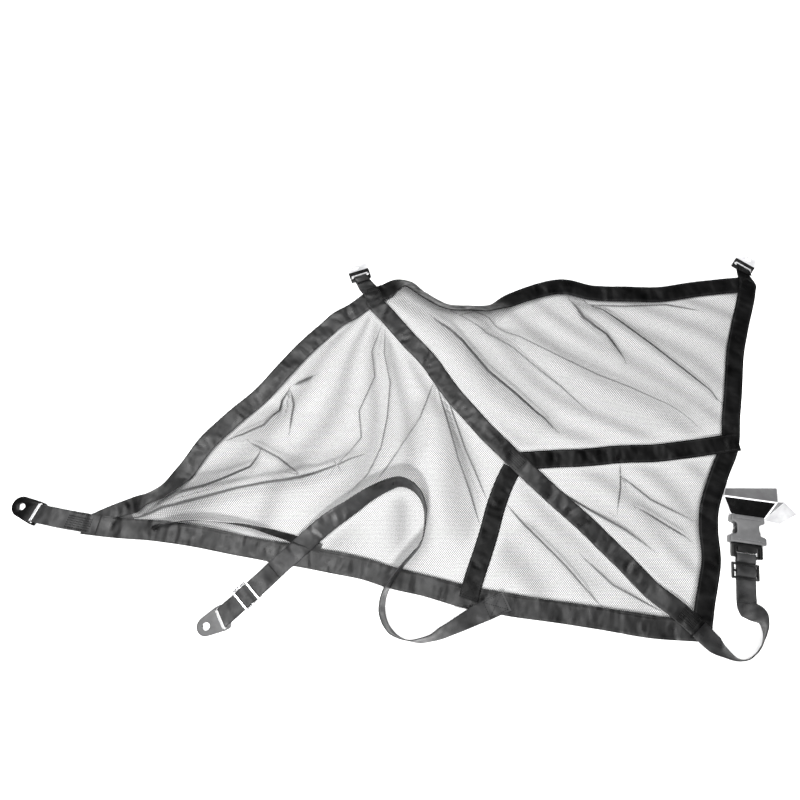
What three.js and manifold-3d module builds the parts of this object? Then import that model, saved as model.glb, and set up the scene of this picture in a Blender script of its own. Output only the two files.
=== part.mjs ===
// A side-opening net for a utility vehicle's cab, lying loose on a flat surface: a mesh panel edged
// and crossed with webbing, its bolt-on tabs, two adjustable straps, a buckle and the buckle's bracket.
import * as THREE from 'three';
import { mergeVertices } from 'three/addons/utils/BufferGeometryUtils.js';
import Module from 'manifold-3d';

// Driving dimensions, in millimetres. X runs along the net, Y across it, Z up from the surface.
const WEBBING_WIDTH = 25.4;
const WEBBING_THICKNESS = 1.4;
const HALF_THICKNESS = WEBBING_THICKNESS / 2;
const MESH_THICKNESS = 1.0;
const GAP = 0.3;
const TAB_THICKNESS = 2.5;
const TAB_BAR = 5;
const TAB_SLOT = [5, 28];
const BOLT_RADIUS = 4.5;
const TONGUE_BOLT_RADIUS = 5;
const CENTRE = { x: 8, y: -0.4 };

// Levels of the layers of webbing over the mesh
const LAYER = WEBBING_THICKNESS + GAP;
const MESH_TOP = MESH_THICKNESS + GAP;
const HALF = WEBBING_WIDTH / 2;
const TAB_LOW = WEBBING_THICKNESS + GAP;
const UNDER_LEVEL = HALF_THICKNESS;
const OVER_LEVEL = TAB_LOW + TAB_THICKNESS + GAP + HALF_THICKNESS;

const BLACK_WEBBING = { color: 0x1b1b1c, roughness: 0.8, metalness: 0 };
const BLACK_MESH = { color: 0x2c2c2e, roughness: 0.9, metalness: 0 };
const BLACK_STEEL = { color: 0x101011, roughness: 0.35, metalness: 0.4 };
const BRIGHT_STEEL = { color: 0xd6d6d8, roughness: 0.2, metalness: 1 };
const GREY_STEEL = { color: 0x77787a, roughness: 0.4, metalness: 1 };
const BLACK_PLASTIC = { color: 0x151516, roughness: 0.45, metalness: 0 };
const GREY_PLASTIC = { color: 0x77787c, roughness: 0.4, metalness: 0 };

const wasm = await Module();
wasm.setup();
const net = new THREE.Group();
const UP = new THREE.Vector3(0, 0, 1);

function rows(names, table) {
  const keys = names.split(' ');
  return table.map((values) => Object.fromEntries(keys.map((key, k) => [key, values[k]])));
}

function radians(degrees) {
  return THREE.MathUtils.degToRad(degrees);
}

// The direction of a heading measured from +X towards +Y
function direction(degrees) {
  return new THREE.Vector3(Math.cos(radians(degrees)), Math.sin(radians(degrees)), 0);
}

function addPiece(name, geometry, finish) {
  const mesh = new THREE.Mesh(geometry, new THREE.MeshStandardMaterial(finish));
  mesh.name = name;
  net.add(mesh);
  return mesh;
}

// Join and cut closed meshes
function toSolid(geometry) {
  const bare = geometry.clone();
  bare.deleteAttribute('normal');
  bare.deleteAttribute('uv');
  const merged = mergeVertices(bare, 1e-4);
  return new wasm.Manifold(new wasm.Mesh({
    numProp: 3,
    vertProperties: Float32Array.from(merged.attributes.position.array),
    triVerts: Uint32Array.from(merged.index.array),
  }));
}

function toGeometry(solid) {
  const mesh = solid.getMesh();
  const geometry = new THREE.BufferGeometry();
  geometry.setAttribute('position', new THREE.BufferAttribute(mesh.vertProperties, 3));
  geometry.setIndex(new THREE.BufferAttribute(mesh.triVerts, 1));
  return geometry;
}

function join(geometries) {
  const solids = geometries.map(toSolid);
  return toGeometry(solids.reduce((whole, solid) => whole.add(solid)));
}

function cut(geometry, tools) {
  return toGeometry(tools.map(toSolid).reduce((whole, solid) => whole.subtract(solid), toSolid(geometry)));
}

function box(x0, x1, y0, y1, z0, z1) {
  const geometry = new THREE.BoxGeometry(x1 - x0, y1 - y0, z1 - z0);
  return geometry.translate((x0 + x1) / 2, (y0 + y1) / 2, (z0 + z1) / 2);
}

function slab(shape, low, high, segments = 6) {
  const settings = { depth: high - low, bevelEnabled: false, curveSegments: segments };
  const geometry = new THREE.ExtrudeGeometry(shape, settings);
  return geometry.translate(0, 0, low);
}

// A piece made lying along +X at the origin is put at its place and heading
function place(geometry, x, y, heading, z = 0) {
  return geometry.rotateZ(radians(heading)).translate(x, y, z);
}

// A closed sheet from a grid of points on its upper face and one on its lower face
function sheet(upper, lower, flip = false) {
  const across = upper[0].length;
  const points = [...upper.flat(), ...lower.flat()];
  const lowerStart = upper.length * across;
  const faces = [];
  const quad = (a, b, c, d) => (flip ? faces.push(a, b, d, b, c, d) : faces.push(a, b, c, a, c, d));
  for (let i = 0; i + 1 < upper.length; i += 1) {
    for (let j = 0; j + 1 < across; j += 1) {
      const at = i * across + j;
      const corners = [at, at + across, at + across + 1, at + 1];
      quad(...corners);
      const [a, b, c, d] = corners.map((k) => k + lowerStart);
      if (flip) faces.push(a, d, b, b, d, c);
      else faces.push(a, c, b, a, d, c);
    }
  }
  const rim = [];
  for (let i = 0; i + 1 < upper.length; i += 1) rim.push(i * across);
  for (let j = 0; j + 1 < across; j += 1) rim.push((upper.length - 1) * across + j);
  for (let i = upper.length - 1; i > 0; i -= 1) rim.push(i * across + across - 1);
  for (let j = across - 1; j > 0; j -= 1) rim.push(j);
  rim.forEach((from, k) => {
    const to = rim[(k + 1) % rim.length];
    faces.push(from, from + lowerStart, to + lowerStart, from, to + lowerStart, to);
  });
  const geometry = new THREE.BufferGeometry();
  const numbers = points.flatMap((p) => p.toArray());
  geometry.setAttribute('position', new THREE.Float32BufferAttribute(numbers, 3));
  geometry.setIndex(faces);
  return facingOut(geometry);
}

function facingOut(geometry) {
  const position = geometry.attributes.position;
  const index = geometry.index.array;
  const [a, b, c] = [0, 1, 2].map(() => new THREE.Vector3());
  let volume = 0;
  for (let k = 0; k < index.length; k += 3) {
    a.fromBufferAttribute(position, index[k]);
    b.fromBufferAttribute(position, index[k + 1]);
    c.fromBufferAttribute(position, index[k + 2]);
    volume += a.dot(b.cross(c));
  }
  if (volume < 0) {
    for (let k = 0; k < index.length; k += 3) [index[k], index[k + 1]] = [index[k + 1], index[k]];
  }
  return geometry;
}

// A route is a smooth plan line through its rows. Roll lifts the webbing's right-hand edge, and
// rise lifts the whole of it.
class Route {
  constructor(table) {
    this.rows = table;
    const points = table.map((row) => new THREE.Vector3(row.x, row.y, 0));
    this.curve = new THREE.CatmullRomCurve3(points, false, 'centripetal');
    this.curve.arcLengthDivisions = 400;
    this.length = this.curve.getLength();
  }

  value(key, s) {
    const u = THREE.MathUtils.clamp(s / this.length, 0, 1);
    const place = this.curve.getUtoTmapping(u) * (this.rows.length - 1);
    const k = Math.min(Math.floor(place), this.rows.length - 2);
    const f = place - k;
    return THREE.MathUtils.lerp(this.rows[k][key], this.rows[k + 1][key], f * f * (3 - 2 * f));
  }

  station(s) {
    const u = THREE.MathUtils.clamp(s / this.length, 0, 1);
    const along = this.curve.getTangentAt(u).normalize();
    const point = this.curve.getPointAt(u).addScaledVector(along, s - u * this.length);
    const right = along.clone().cross(UP);
    const roll = radians(this.value('roll', s));
    const across = right.clone().multiplyScalar(Math.cos(roll)).addScaledVector(UP, Math.sin(roll));
    const normal = UP.clone().multiplyScalar(Math.cos(roll)).addScaledVector(right, -Math.sin(roll));
    return { point, across, normal, roll, s };
  }
}

function stops(from, to, step) {
  const count = Math.max(1, Math.round((to - from) / step));
  return Array.from({ length: count + 1 }, (_, k) => from + ((to - from) * k) / count);
}

// Webbing through a list of stations, from one level to another above the station's point
function webbing(stations, low, high, sides = [-1, 1], flip = false) {
  const face = (level) => stations.map((st) => sides.map((side) => st.point.clone()
    .addScaledVector(st.across, side * HALF).addScaledVector(st.normal, level)));
  return sheet(face(high), face(low), flip);
}

// How far a strip climbs over other webbing at s: rows give a stretch, the layers under it and its ramps
function climb(table, s) {
  return table.reduce((most, row) => {
    const away = Math.max(row.from - s, s - row.to, 0);
    return Math.max(most, row.layers * LAYER * Math.max(0, 1 - away / row.ramp));
  }, 0);
}

// The four edge strips run clockwise, seen from above, so that their right-hand side is the inner one.
// The first and last rows are the panel's corners.
const EDGES = {
  upperLeft: new Route(rows('x y rise roll', [
    [-419, -121, 0, 0], [-397, -111, 0, 0], [-364, -97, 0, 0], [-342, -88, 0, 38], [-320, -75, 0, 30],
    [-299, -48, 1, 0], [-272, -8, 3, 0], [-243, 24, 2, 0], [-207, 59, 0, 0], [-174, 98, 3, 0],
    [-146, 133, 2, 0], [-114, 166, 0, 0], [-95, 184, 2, 0], [-72, 199, 1, 0], [-45, 223, 0, 0]])),
  top: new Route(rows('x y rise roll', [
    [-45, 223, 0, 0], [-26, 230, 0, 0], [-10, 239, 0, 20], [7, 239, 0, 42], [28, 222, 0, 47],
    [65, 200, 0, 47], [100, 197, 0, 47], [133, 198, 0, 44], [165, 215, 1, 14], [216, 234, 2, 5],
    [244, 239, 1, 0], [284, 229, 0, 0], [336, 226, 1, 0], [389, 226, 1, 0], [451, 236, 0, 0],
    [524, 243, 0, 0]])),
  right: new Route(rows('x y rise roll', [
    [524, 243, 0, 0], [514, 209, 0, 0], [498, 168, 2, 0], [486, 132, 1, 0], [477, 88, 0, 0],
    [465, 34, 0, 0], [455, -10, 0, 0], [433, -53, 0, 0], [414, -94, 1, 0], [407, -128, 2, 0],
    [405, -167, 0, 0], [396, -199, 0, 0], [385, -230, 0, 0], [378, -255, 0, 0]])),
  bottom: new Route(rows('x y rise roll', [
    [378, -255, 0, 0], [327, -252, 0, 0], [277, -245, 1, 0], [220, -236, 0, 0], [176, -230, 0, 0],
    [125, -222, 0, 0], [76, -213, 0, 0], [31, -201, 0, 0], [-15, -190, 0, 0], [-54, -178, 0, 0],
    [-136, -163, 0, 0], [-203, -151, 0, 0], [-257, -140, 2, 0], [-323, -130, 2, 0], [-366, -127, 0, 0],
    [-419, -121, 0, 0]])),
};

// Distance along each strip from its corners to where the inner edges meet, and how it ends past them
const EDGE_ENDS = {
  upperLeft: { first: 54, last: 8, before: 8, after: 4, climbs: [] },
  top: { first: 8, last: 16, before: 6, after: 6, climbs: rows('from to layers ramp', [[-6, 15, 1, 18]]) },
  right: { first: 17, last: 18, before: 0, after: 12,
    climbs: rows('from to layers ramp', [[-60, 17, 1, 20], [502, 540, 1, 20]]) },
  bottom: {
    first: 18, last: 54, before: 12, after: 8,
    climbs: rows('from to layers ramp', [[742, 900, 1, 20]]),
  },
};
const ALONG = 38;
const UPWARD = 24;

function edgeStation(route, s) {
  const station = route.station(s);
  station.point.z = route.value('rise', s) + HALF * Math.abs(Math.sin(station.roll));
  return station;
}

function edgeStations(name, divisions) {
  const route = EDGES[name];
  const ends = EDGE_ENDS[name];
  const span = route.length - ends.first - ends.last;
  const inner = stops(ends.first, ends.first + span, span / (divisions - 2));
  return [0, ...inner, route.length].map((s) => edgeStation(route, s));
}

const edgeRings = {
  upperLeft: edgeStations('upperLeft', UPWARD),
  top: edgeStations('top', ALONG),
  right: edgeStations('right', UPWARD),
  bottom: edgeStations('bottom', ALONG),
};

// The strips that cross the panel and the stretch of the lower strap that lies on it
const DIAGONAL = new Route(rows('x y roll', [
  [-45, 225, 0], [-42, 213, 0], [-17, 182, 0], [11, 148, 0], [37, 118, 0], [55, 91, 0], [76, 59, 0],
  [102, 27, 0], [127, -3, 0], [155, -32, 0], [187, -65, 0], [213, -90, 0], [240, -117, 0], [264, -142, 0],
  [293, -173, 0], [320, -203, 0], [349, -229, 0], [372, -251, 0]]));
const LONG_CROSS = new Route(rows('x y roll', [
  [160, -33, 0], [190, -31, 0], [245, -29, 0], [301, -24, 0], [357, -21, 0], [414, -14, 0], [467, -7, 0]]));
const SHORT_CROSS = new Route(rows('x y roll', [
  [150, -43, 0], [137, -67, 0], [126, -94, 0], [116, -128, 0], [104, -161, 0], [93, -190, 0],
  [84, -217, 0]]));
const LOWER_STRAP = new Route(rows('x y rest roll', [
  [133, -219, 4.8, 0], [112, -228, 4.8, 0], [86, -240, 4.0, 30], [57, -254, 0, 50], [28, -266, 0, 75],
  [2, -266, 0, 92], [-18, -254, 0, 105], [-27, -232, 0.1, 108], [-23, -209, 2.7, 104],
  [-11, -189, 3.2, 97], [7, -167, 3.2, 93], [23, -148, 1.9, 90], [29, -121, 1.7, 88], [28, -94, 1.7, 85],
  [16, -74, 1.7, 80], [-4, -65, 1.7, 70], [-24, -71, 1.7, 62], [-45, -82, 1.7, 55], [-71, -100, 1.7, 42],
  [-98, -118, 1.9, 24], [-122, -138, 3.3, 8], [-149, -163, 3.3, 0], [-158, -171, 3.2, 0]]));

// Distance in plan from a point to the nearest point of a route
function trail(route) {
  return stops(0, route.length, 6).map((s) => route.curve.getPointAt(s / route.length));
}
const TRAILS = [DIAGONAL, LONG_CROSS, SHORT_CROSS, LOWER_STRAP].flatMap(trail);
const FLAT_REACH = 34;
const FOLD_REACH = 62;

// Main folds of the panel: each is a soft ridge from one end to the other
const FOLDS = rows('x0 y0 x1 y1 height width', [
  [69, 156, 192, 24, 11, 17], [171, 144, 402, 21, 13, 20], [293, 189, 431, 67, 9, 15],
  [252, 216, 316, 120, 7, 13], [-312, -96, -73, -36, 13, 17], [-294, -77, -202, -45, 9, 14],
  [-25, 140, -30, -19, 9, 18], [53, 55, 95, -95, 10, 15], [31, 32, -11, -33, 8, 17],
  [-184, 28, -226, -4, 8, 13], [-195, -16, -140, -56, 7, 13], [168, -135, 241, -206, 8, 13],
  [213, -75, 312, -148, 8, 14], [318, -102, 379, -142, 7, 13]]);
const EDGE_FALL = 42;

function foldHeight(x, y) {
  return FOLDS.reduce((sum, fold) => {
    const run = new THREE.Vector2(fold.x1 - fold.x0, fold.y1 - fold.y0);
    const to = new THREE.Vector2(x - fold.x0, y - fold.y0);
    const t = to.dot(run) / run.lengthSq();
    const past = (Math.max(-t, t - 1, 0) * run.length()) / (2 * fold.width);
    const side = Math.abs(run.cross(to)) / run.length() / fold.width;
    return sum + fold.height * Math.exp(-side * side - past * past * 4);
  }, 0);
}

function clothHeight(point, edgeRises) {
  const away = Math.min(...TRAILS.map((spot) => Math.hypot(spot.x - point.x, spot.y - point.y)));
  const free = THREE.MathUtils.smoothstep(away, FLAT_REACH, FOLD_REACH);
  const fromEdges = edgeRises.reduce((sum, edge) => {
    const apart = Math.hypot(edge.x - point.x, edge.y - point.y) / EDGE_FALL;
    return sum + edge.z * Math.exp(-apart * apart);
  }, 0);
  return free * (foldHeight(point.x, point.y) + fromEdges);
}

// The panel: its outermost line lies under the middle of the edge strips and the next one under their
// inner edges, at the strips' own stations. The rest is spread evenly between those.
function panelGrid() {
  const inside = (station) => station.point.clone().addScaledVector(station.across, HALF);
  const left = edgeRings.upperLeft;
  const top = edgeRings.top;
  const right = [...edgeRings.right].reverse();
  const bottom = [...edgeRings.bottom].reverse();
  const meet = (a, b) => inside(a).add(inside(b)).multiplyScalar(0.5);
  const corner = {
    ll: meet(left[1], bottom[1]), lr: meet(right[1], bottom[ALONG - 1]),
    ul: inside(top[1]), ur: meet(right[UPWARD - 1], top[ALONG - 1]),
  };
  const line = (ring, k, count, first, last) => (k === 1 ? first : k === count - 1 ? last : inside(ring[k]));
  return Array.from({ length: ALONG + 1 }, (_, i) => Array.from({ length: UPWARD + 1 }, (__, j) => {
    if (i === 0) return { point: left[j].point, normal: left[j].normal };
    if (i === ALONG) return { point: right[j].point, normal: right[j].normal };
    if (j === 0) return { point: bottom[i].point, normal: bottom[i].normal };
    if (j === UPWARD) return { point: top[i].point, normal: top[i].normal };
    const west = line(left, j, UPWARD, corner.ll, corner.ul);
    const east = line(right, j, UPWARD, corner.lr, corner.ur);
    const south = line(bottom, i, ALONG, corner.ll, corner.lr);
    const north = line(top, i, ALONG, corner.ul, corner.ur);
    if (i === 1) return { point: west, normal: left[j].normal };
    if (i === ALONG - 1) return { point: east, normal: right[j].normal };
    if (j === 1) return { point: south, normal: bottom[i].normal };
    if (j === UPWARD - 1) return { point: north, normal: top[i].normal };
    const u = (i - 1) / (ALONG - 2);
    const v = (j - 1) / (UPWARD - 2);
    const point = new THREE.Vector3();
    point.addScaledVector(west, 1 - u).addScaledVector(east, u);
    point.addScaledVector(south, 1 - v).addScaledVector(north, v);
    point.addScaledVector(corner.ll, -(1 - u) * (1 - v)).addScaledVector(corner.lr, -u * (1 - v));
    point.addScaledVector(corner.ul, -(1 - u) * v).addScaledVector(corner.ur, -u * v);
    point.z = clothHeight(point, [west, east, south, north]);
    return { point, normal: UP };
  }));
}

const panel = panelGrid();
const offFace = (st, level) => st.point.clone().addScaledVector(st.normal, level);
const panelFace = (level) => panel.map((line) => line.map((st) => offFace(st, level)));
addPiece('Mesh-panel', sheet(panelFace(MESH_THICKNESS), panelFace(0)), BLACK_MESH);

// Edge webbing lies on the panel along its own stations, and climbs where it crosses other webbing
function edgeStrip(name) {
  const route = EDGES[name];
  const ends = EDGE_ENDS[name];
  const stations = [...edgeRings[name]];
  if (ends.before) stations.unshift(edgeStation(route, -ends.before));
  if (ends.after) stations.push(edgeStation(route, route.length + ends.after));
  const raised = (st) => st.point.clone().addScaledVector(UP, climb(ends.climbs, st.s));
  return stations.map((st) => ({ ...st, point: raised(st) }));
}

function addEdge(node, name, flip) {
  const stations = edgeStrip(name);
  addPiece(node, webbing(stations, MESH_TOP, MESH_TOP + WEBBING_THICKNESS, [-1, 0, 1], flip), BLACK_WEBBING);
}

// The end of a strap that loops through a tab. Its plan line runs straight from the start to the tab's
// slot while its across direction turns from the strap's heading to the tab's, and a profile of
// distance along that line and height carries it.
function endStations(end, profile) {
  const start = new THREE.Vector3(end.start[0], end.start[1], 0);
  const slot = new THREE.Vector3(end.slot[0], end.slot[1], 0);
  const run = slot.clone().sub(start);
  const reach = run.length();
  run.normalize();
  const spots = profile.map(([s, z]) => {
    const turned = THREE.MathUtils.smoothstep(s, end.turnFrom, reach);
    const heading = THREE.MathUtils.lerp(end.heading, end.tabHeading, turned);
    return { point: start.clone().addScaledVector(run, s).setZ(z), across: direction(heading).cross(UP) };
  });
  return spots.map((spot, k) => {
    const along = spots[Math.min(k + 1, spots.length - 1)].point.clone().sub(spots[Math.max(k - 1, 0)].point);
    return { ...spot, normal: spot.across.clone().cross(along).normalize() };
  });
}

function reachOf(end) {
  return Math.hypot(end.slot[0] - end.start[0], end.slot[1] - end.start[1]);
}

// Half a turn round the tab's bar, from one level to another
const TURN_STEPS = 6;
function turn(at, from, to) {
  const middle = (from + to) / 2;
  const radius = (to - from) / 2;
  return Array.from({ length: TURN_STEPS + 1 }, (_, k) => {
    const angle = (Math.PI * k) / TURN_STEPS;
    return [at + Math.abs(radius) * Math.sin(angle), middle - radius * Math.cos(angle)];
  });
}

function straight(from, to, z0, z1, step = 12) {
  return stops(0, Math.abs(to - from), step).map((d) => {
    const f = d / Math.abs(to - from);
    return [from + (to - from) * f, z0 + (z1 - z0) * f];
  });
}

const SLOT_EDGE = TAB_SLOT[0] / 2;

// Corner ends: where each starts, its tab's slot, the headings of strap and tab, and the distance
// at which it begins to turn from one to the other
const LEFT_END = {
  start: [-410, -122], slot: [-492.7, -105.6], heading: 169, tabHeading: 157, turnFrom: 0,
};
const TOP_LEFT_END = { start: [-45, 225], slot: [-65, 257.2], heading: 122, tabHeading: 109, turnFrom: 0 };
const TOP_RIGHT_END = { start: [524, 243], slot: [521, 272.5], heading: 74, tabHeading: 54, turnFrom: 0 };
const LOWER_END = {
  start: [-160, -173], slot: [-232.2, -240.5], heading: 223, tabHeading: 208, turnFrom: 72,
};
const RIGHT_END = { start: [441, -227], slot: [450.5, -161.7], heading: 82, tabHeading: 82, turnFrom: 0 };

addEdge('Upper-left-edge-webbing', 'upperLeft', false);
addEdge('Top-edge-webbing', 'top', true);
addEdge('Bottom-edge-webbing', 'bottom', true);

// The right edge webbing's top end passes down through the tab's slot and comes back under it
const rightReach = reachOf(TOP_RIGHT_END) - SLOT_EDGE;
const rightLoop = endStations(TOP_RIGHT_END, [
  ...straight(19, rightReach, UNDER_LEVEL, UNDER_LEVEL, 9),
  ...turn(rightReach, UNDER_LEVEL, OVER_LEVEL).slice(1),
  [rightReach - 9, OVER_LEVEL],
]);
const rightEdge = edgeStrip('right').map((st) => ({
  ...st, point: st.point.clone().addScaledVector(st.normal, MESH_TOP + HALF_THICKNESS),
}));
addPiece('Right-edge-webbing',
  webbing([...rightLoop, ...rightEdge], -HALF_THICKNESS, HALF_THICKNESS), BLACK_WEBBING);

// Strips that cross the panel
function crossStations(route, from, to, climbs, step) {
  return stops(from, to, step).map((s) => {
    const station = route.station(s);
    station.point.z = MESH_TOP + HALF_THICKNESS + climb(climbs, s);
    return station;
  });
}

const CROSS_STEP = 14;
const longCross = crossStations(LONG_CROSS, 0, LONG_CROSS.length,
  rows('from to layers ramp', [[LONG_CROSS.length - 43, LONG_CROSS.length, 1, 16]]), CROSS_STEP);
addPiece('Long-cross-webbing', webbing(longCross, -HALF_THICKNESS, HALF_THICKNESS), BLACK_WEBBING);
const shortCross = crossStations(SHORT_CROSS, 0, SHORT_CROSS.length,
  rows('from to layers ramp', [[SHORT_CROSS.length - 32, SHORT_CROSS.length, 1, 16]]), CROSS_STEP);
addPiece('Short-cross-webbing', webbing(shortCross, -HALF_THICKNESS, HALF_THICKNESS), BLACK_WEBBING);

const topLeftReach = reachOf(TOP_LEFT_END) - SLOT_EDGE;
const diagonalLoop = endStations(TOP_LEFT_END, [
  ...straight(17, topLeftReach, UNDER_LEVEL, UNDER_LEVEL, 9),
  ...turn(topLeftReach, UNDER_LEVEL, OVER_LEVEL).slice(1),
  [topLeftReach - 9, OVER_LEVEL],
]);
const diagonalMain = crossStations(DIAGONAL, 0, DIAGONAL.length,
  rows('from to layers ramp', [
    [0, 32, 2, 26], [296, 376, 1, 18], [DIAGONAL.length - 38, DIAGONAL.length, 2, 30]]),
  CROSS_STEP);
addPiece('Diagonal-webbing',
  webbing([...diagonalLoop, ...diagonalMain], -HALF_THICKNESS, HALF_THICKNESS), BLACK_WEBBING);

// The left anchor strap lies on the ends of the hems and is folded back under the tab's bar
const leftReach = reachOf(LEFT_END) - SLOT_EDGE;
const thirdLayer = MESH_TOP + 2 * LAYER + HALF_THICKNESS;
const leftAnchor = endStations(LEFT_END, [
  ...straight(32, leftReach, UNDER_LEVEL, UNDER_LEVEL),
  ...turn(leftReach, UNDER_LEVEL, OVER_LEVEL).slice(1),
  ...straight(leftReach - 12, 30, OVER_LEVEL, thirdLayer),
  ...straight(18, -4, thirdLayer, thirdLayer),
]);
addPiece('Left-anchor-strap', webbing(leftAnchor, -HALF_THICKNESS, HALF_THICKNESS), BLACK_WEBBING);

// Slides: the strap's lower run passes under the middle bar, and its end lies over that bar and under
// the outer bars
const SLIDE = { bar: 3, high: 2.5, inner: 30, side: 2.6 };
const slideMiddleLow = WEBBING_THICKNESS + GAP;
const slideMiddleHigh = slideMiddleLow + 2;
const slideOuterLow = slideMiddleLow + WEBBING_THICKNESS + GAP;
const lidLevel = slideMiddleLow + WEBBING_THICKNESS / 2;
const humpLevel = slideMiddleHigh + GAP + HALF_THICKNESS;

function slideFrame(length) {
  const half = length / 2;
  const wide = SLIDE.inner / 2 + SLIDE.side;
  const outerHigh = slideOuterLow + SLIDE.high;
  return join([
    box(-half, -half + SLIDE.bar, -wide, wide, slideOuterLow, outerHigh),
    box(half - SLIDE.bar, half, -wide, wide, slideOuterLow, outerHigh),
    box(-SLIDE.bar / 2, SLIDE.bar / 2, -wide, wide, slideMiddleLow, slideMiddleHigh),
    box(-half, half, -wide, -wide + SLIDE.side, slideMiddleLow, outerHigh),
    box(-half, half, wide - SLIDE.side, wide, slideMiddleLow, outerHigh),
  ]);
}

// The strap's end over a slide whose middle is at a distance along it
function lid(at, from, to, length) {
  const bar = length / 2 - SLIDE.bar / 2;
  const sign = Math.sign(to - from);
  return [
    ...straight(from, at - sign * (bar + 4), lidLevel, lidLevel, 9),
    [at - sign * (bar - 2), lidLevel],
    [at - sign * 2.6, humpLevel],
    [at + sign * 2.6, humpLevel],
    [at + sign * (bar - 2), lidLevel],
    ...straight(at + sign * (bar + 4), to, lidLevel, lidLevel, 9),
  ];
}

const LOWER_SLIDE_LENGTH = 23;
const lowerReach = reachOf(LOWER_END) - SLOT_EDGE;
const lowerSlideAt = 58;
const offHem = MESH_TOP + LAYER + WEBBING_THICKNESS / 2;
const lowerTail = endStations(LOWER_END, [
  [9, offHem],
  ...straight(24, lowerReach, UNDER_LEVEL, UNDER_LEVEL),
  ...turn(lowerReach, UNDER_LEVEL, OVER_LEVEL).slice(1),
  [lowerReach - 5, OVER_LEVEL],
  ...lid(lowerSlideAt, lowerSlideAt + LOWER_SLIDE_LENGTH / 2 + 2.6, 26, LOWER_SLIDE_LENGTH),
  [12, offHem + LAYER - 0.4],
]);
const lowerMain = stops(0, LOWER_STRAP.length, 13).map((s) => {
  const station = LOWER_STRAP.station(s);
  station.point.z = LOWER_STRAP.value('rest', s) + HALF * Math.abs(Math.sin(station.roll))
    + (WEBBING_THICKNESS / 2) * Math.abs(Math.cos(station.roll));
  return station;
});
addPiece('Lower-strap',
  webbing([...lowerMain, ...lowerTail], -HALF_THICKNESS, HALF_THICKNESS), BLACK_WEBBING);

// A point along a strap's end, for what is threaded on it
function along(end, s, aside = 0) {
  const run = new THREE.Vector3(end.slot[0] - end.start[0], end.slot[1] - end.start[1], 0).normalize();
  const left = UP.clone().cross(run);
  return [end.start[0] + run.x * s + left.x * aside, end.start[1] + run.y * s + left.y * aside];
}

function runHeading(end) {
  return THREE.MathUtils.radToDeg(Math.atan2(end.slot[1] - end.start[1], end.slot[0] - end.start[0]));
}

addPiece('Lower-slide',
  place(slideFrame(LOWER_SLIDE_LENGTH), ...along(LOWER_END, lowerSlideAt), runHeading(LOWER_END)),
  BRIGHT_STEEL);

// Tabs, made along +X with the slot's middle at the origin and the strap's side at -X
const TAB_BACK = SLOT_EDGE + TAB_BAR;

function slotHole() {
  const hole = new THREE.Path();
  hole.moveTo(-SLOT_EDGE, -TAB_SLOT[1] / 2);
  hole.lineTo(-SLOT_EDGE, TAB_SLOT[1] / 2);
  hole.lineTo(SLOT_EDGE, TAB_SLOT[1] / 2);
  hole.lineTo(SLOT_EDGE, -TAB_SLOT[1] / 2);
  hole.closePath();
  return hole;
}

function boltHole(x, y, radius) {
  const hole = new THREE.Path();
  hole.absarc(x, y, radius, 0, 2 * Math.PI, true);
  return hole;
}

// A flat tab: straight across the slot, its sides drawing in to a round end about the bolt hole
function flatTab(halfWidth, boltX, endRadius, boltRadius) {
  const shape = new THREE.Shape();
  const lean = 0.35;
  shape.moveTo(-TAB_BACK, -halfWidth);
  shape.lineTo(SLOT_EDGE + 1, -halfWidth);
  shape.lineTo(boltX - endRadius * lean, -endRadius);
  shape.absarc(boltX, 0, endRadius, -Math.PI / 2, Math.PI / 2, false);
  shape.lineTo(SLOT_EDGE + 1, halfWidth);
  shape.lineTo(-TAB_BACK, halfWidth);
  shape.closePath();
  shape.holes.push(slotHole(), boltHole(boltX, 0, boltRadius));
  return slab(shape, TAB_LOW, TAB_LOW + TAB_THICKNESS);
}

addPiece('Left-tab',
  place(flatTab(16, 22, 11.5, BOLT_RADIUS), ...LEFT_END.slot, LEFT_END.tabHeading), BLACK_STEEL);
addPiece('Lower-tab',
  place(flatTab(16, 20.5, 12, TONGUE_BOLT_RADIUS), ...LOWER_END.slot, LOWER_END.tabHeading), GREY_STEEL);

// A bent tab: the slotted leg lies flat and the bolted flange stands up past the bend
const BEND_AT = 10;
const FLANGE = { height: 25, lean: 8, bolt: 13, aside: 4, half: 15.5, corner: 7 };

function bentTab(aside) {
  const shape = new THREE.Shape();
  shape.moveTo(-TAB_BACK, -FLANGE.half);
  shape.lineTo(BEND_AT, -FLANGE.half);
  shape.lineTo(BEND_AT, FLANGE.half);
  shape.lineTo(-TAB_BACK, FLANGE.half);
  shape.closePath();
  shape.holes.push(slotHole());
  const leg = slab(shape, TAB_LOW, TAB_LOW + TAB_THICKNESS);
  const { height, half, corner } = FLANGE;
  const face = new THREE.Shape();
  face.moveTo(-half, 0);
  face.lineTo(half, 0);
  face.lineTo(half, height - corner);
  face.lineTo(half - corner, height);
  face.lineTo(corner - half, height);
  face.lineTo(-half, height - corner);
  face.closePath();
  face.holes.push(boltHole(aside, FLANGE.bolt, BOLT_RADIUS));
  const flange = slab(face, -TAB_THICKNESS, 0);
  flange.applyMatrix4(new THREE.Matrix4().makeBasis(
    new THREE.Vector3(0, 1, 0), new THREE.Vector3(0, 0, 1), new THREE.Vector3(1, 0, 0)));
  flange.rotateY(radians(-FLANGE.lean));
  flange.translate(BEND_AT + TAB_THICKNESS * 0.6, 0, TAB_LOW + 0.1);
  return join([leg, flange]);
}

addPiece('Top-left-tab',
  place(bentTab(FLANGE.aside), ...TOP_LEFT_END.slot, TOP_LEFT_END.tabHeading), BLACK_STEEL);
addPiece('Top-right-tab', place(bentTab(0), ...TOP_RIGHT_END.slot, TOP_RIGHT_END.tabHeading), BLACK_STEEL);

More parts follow.
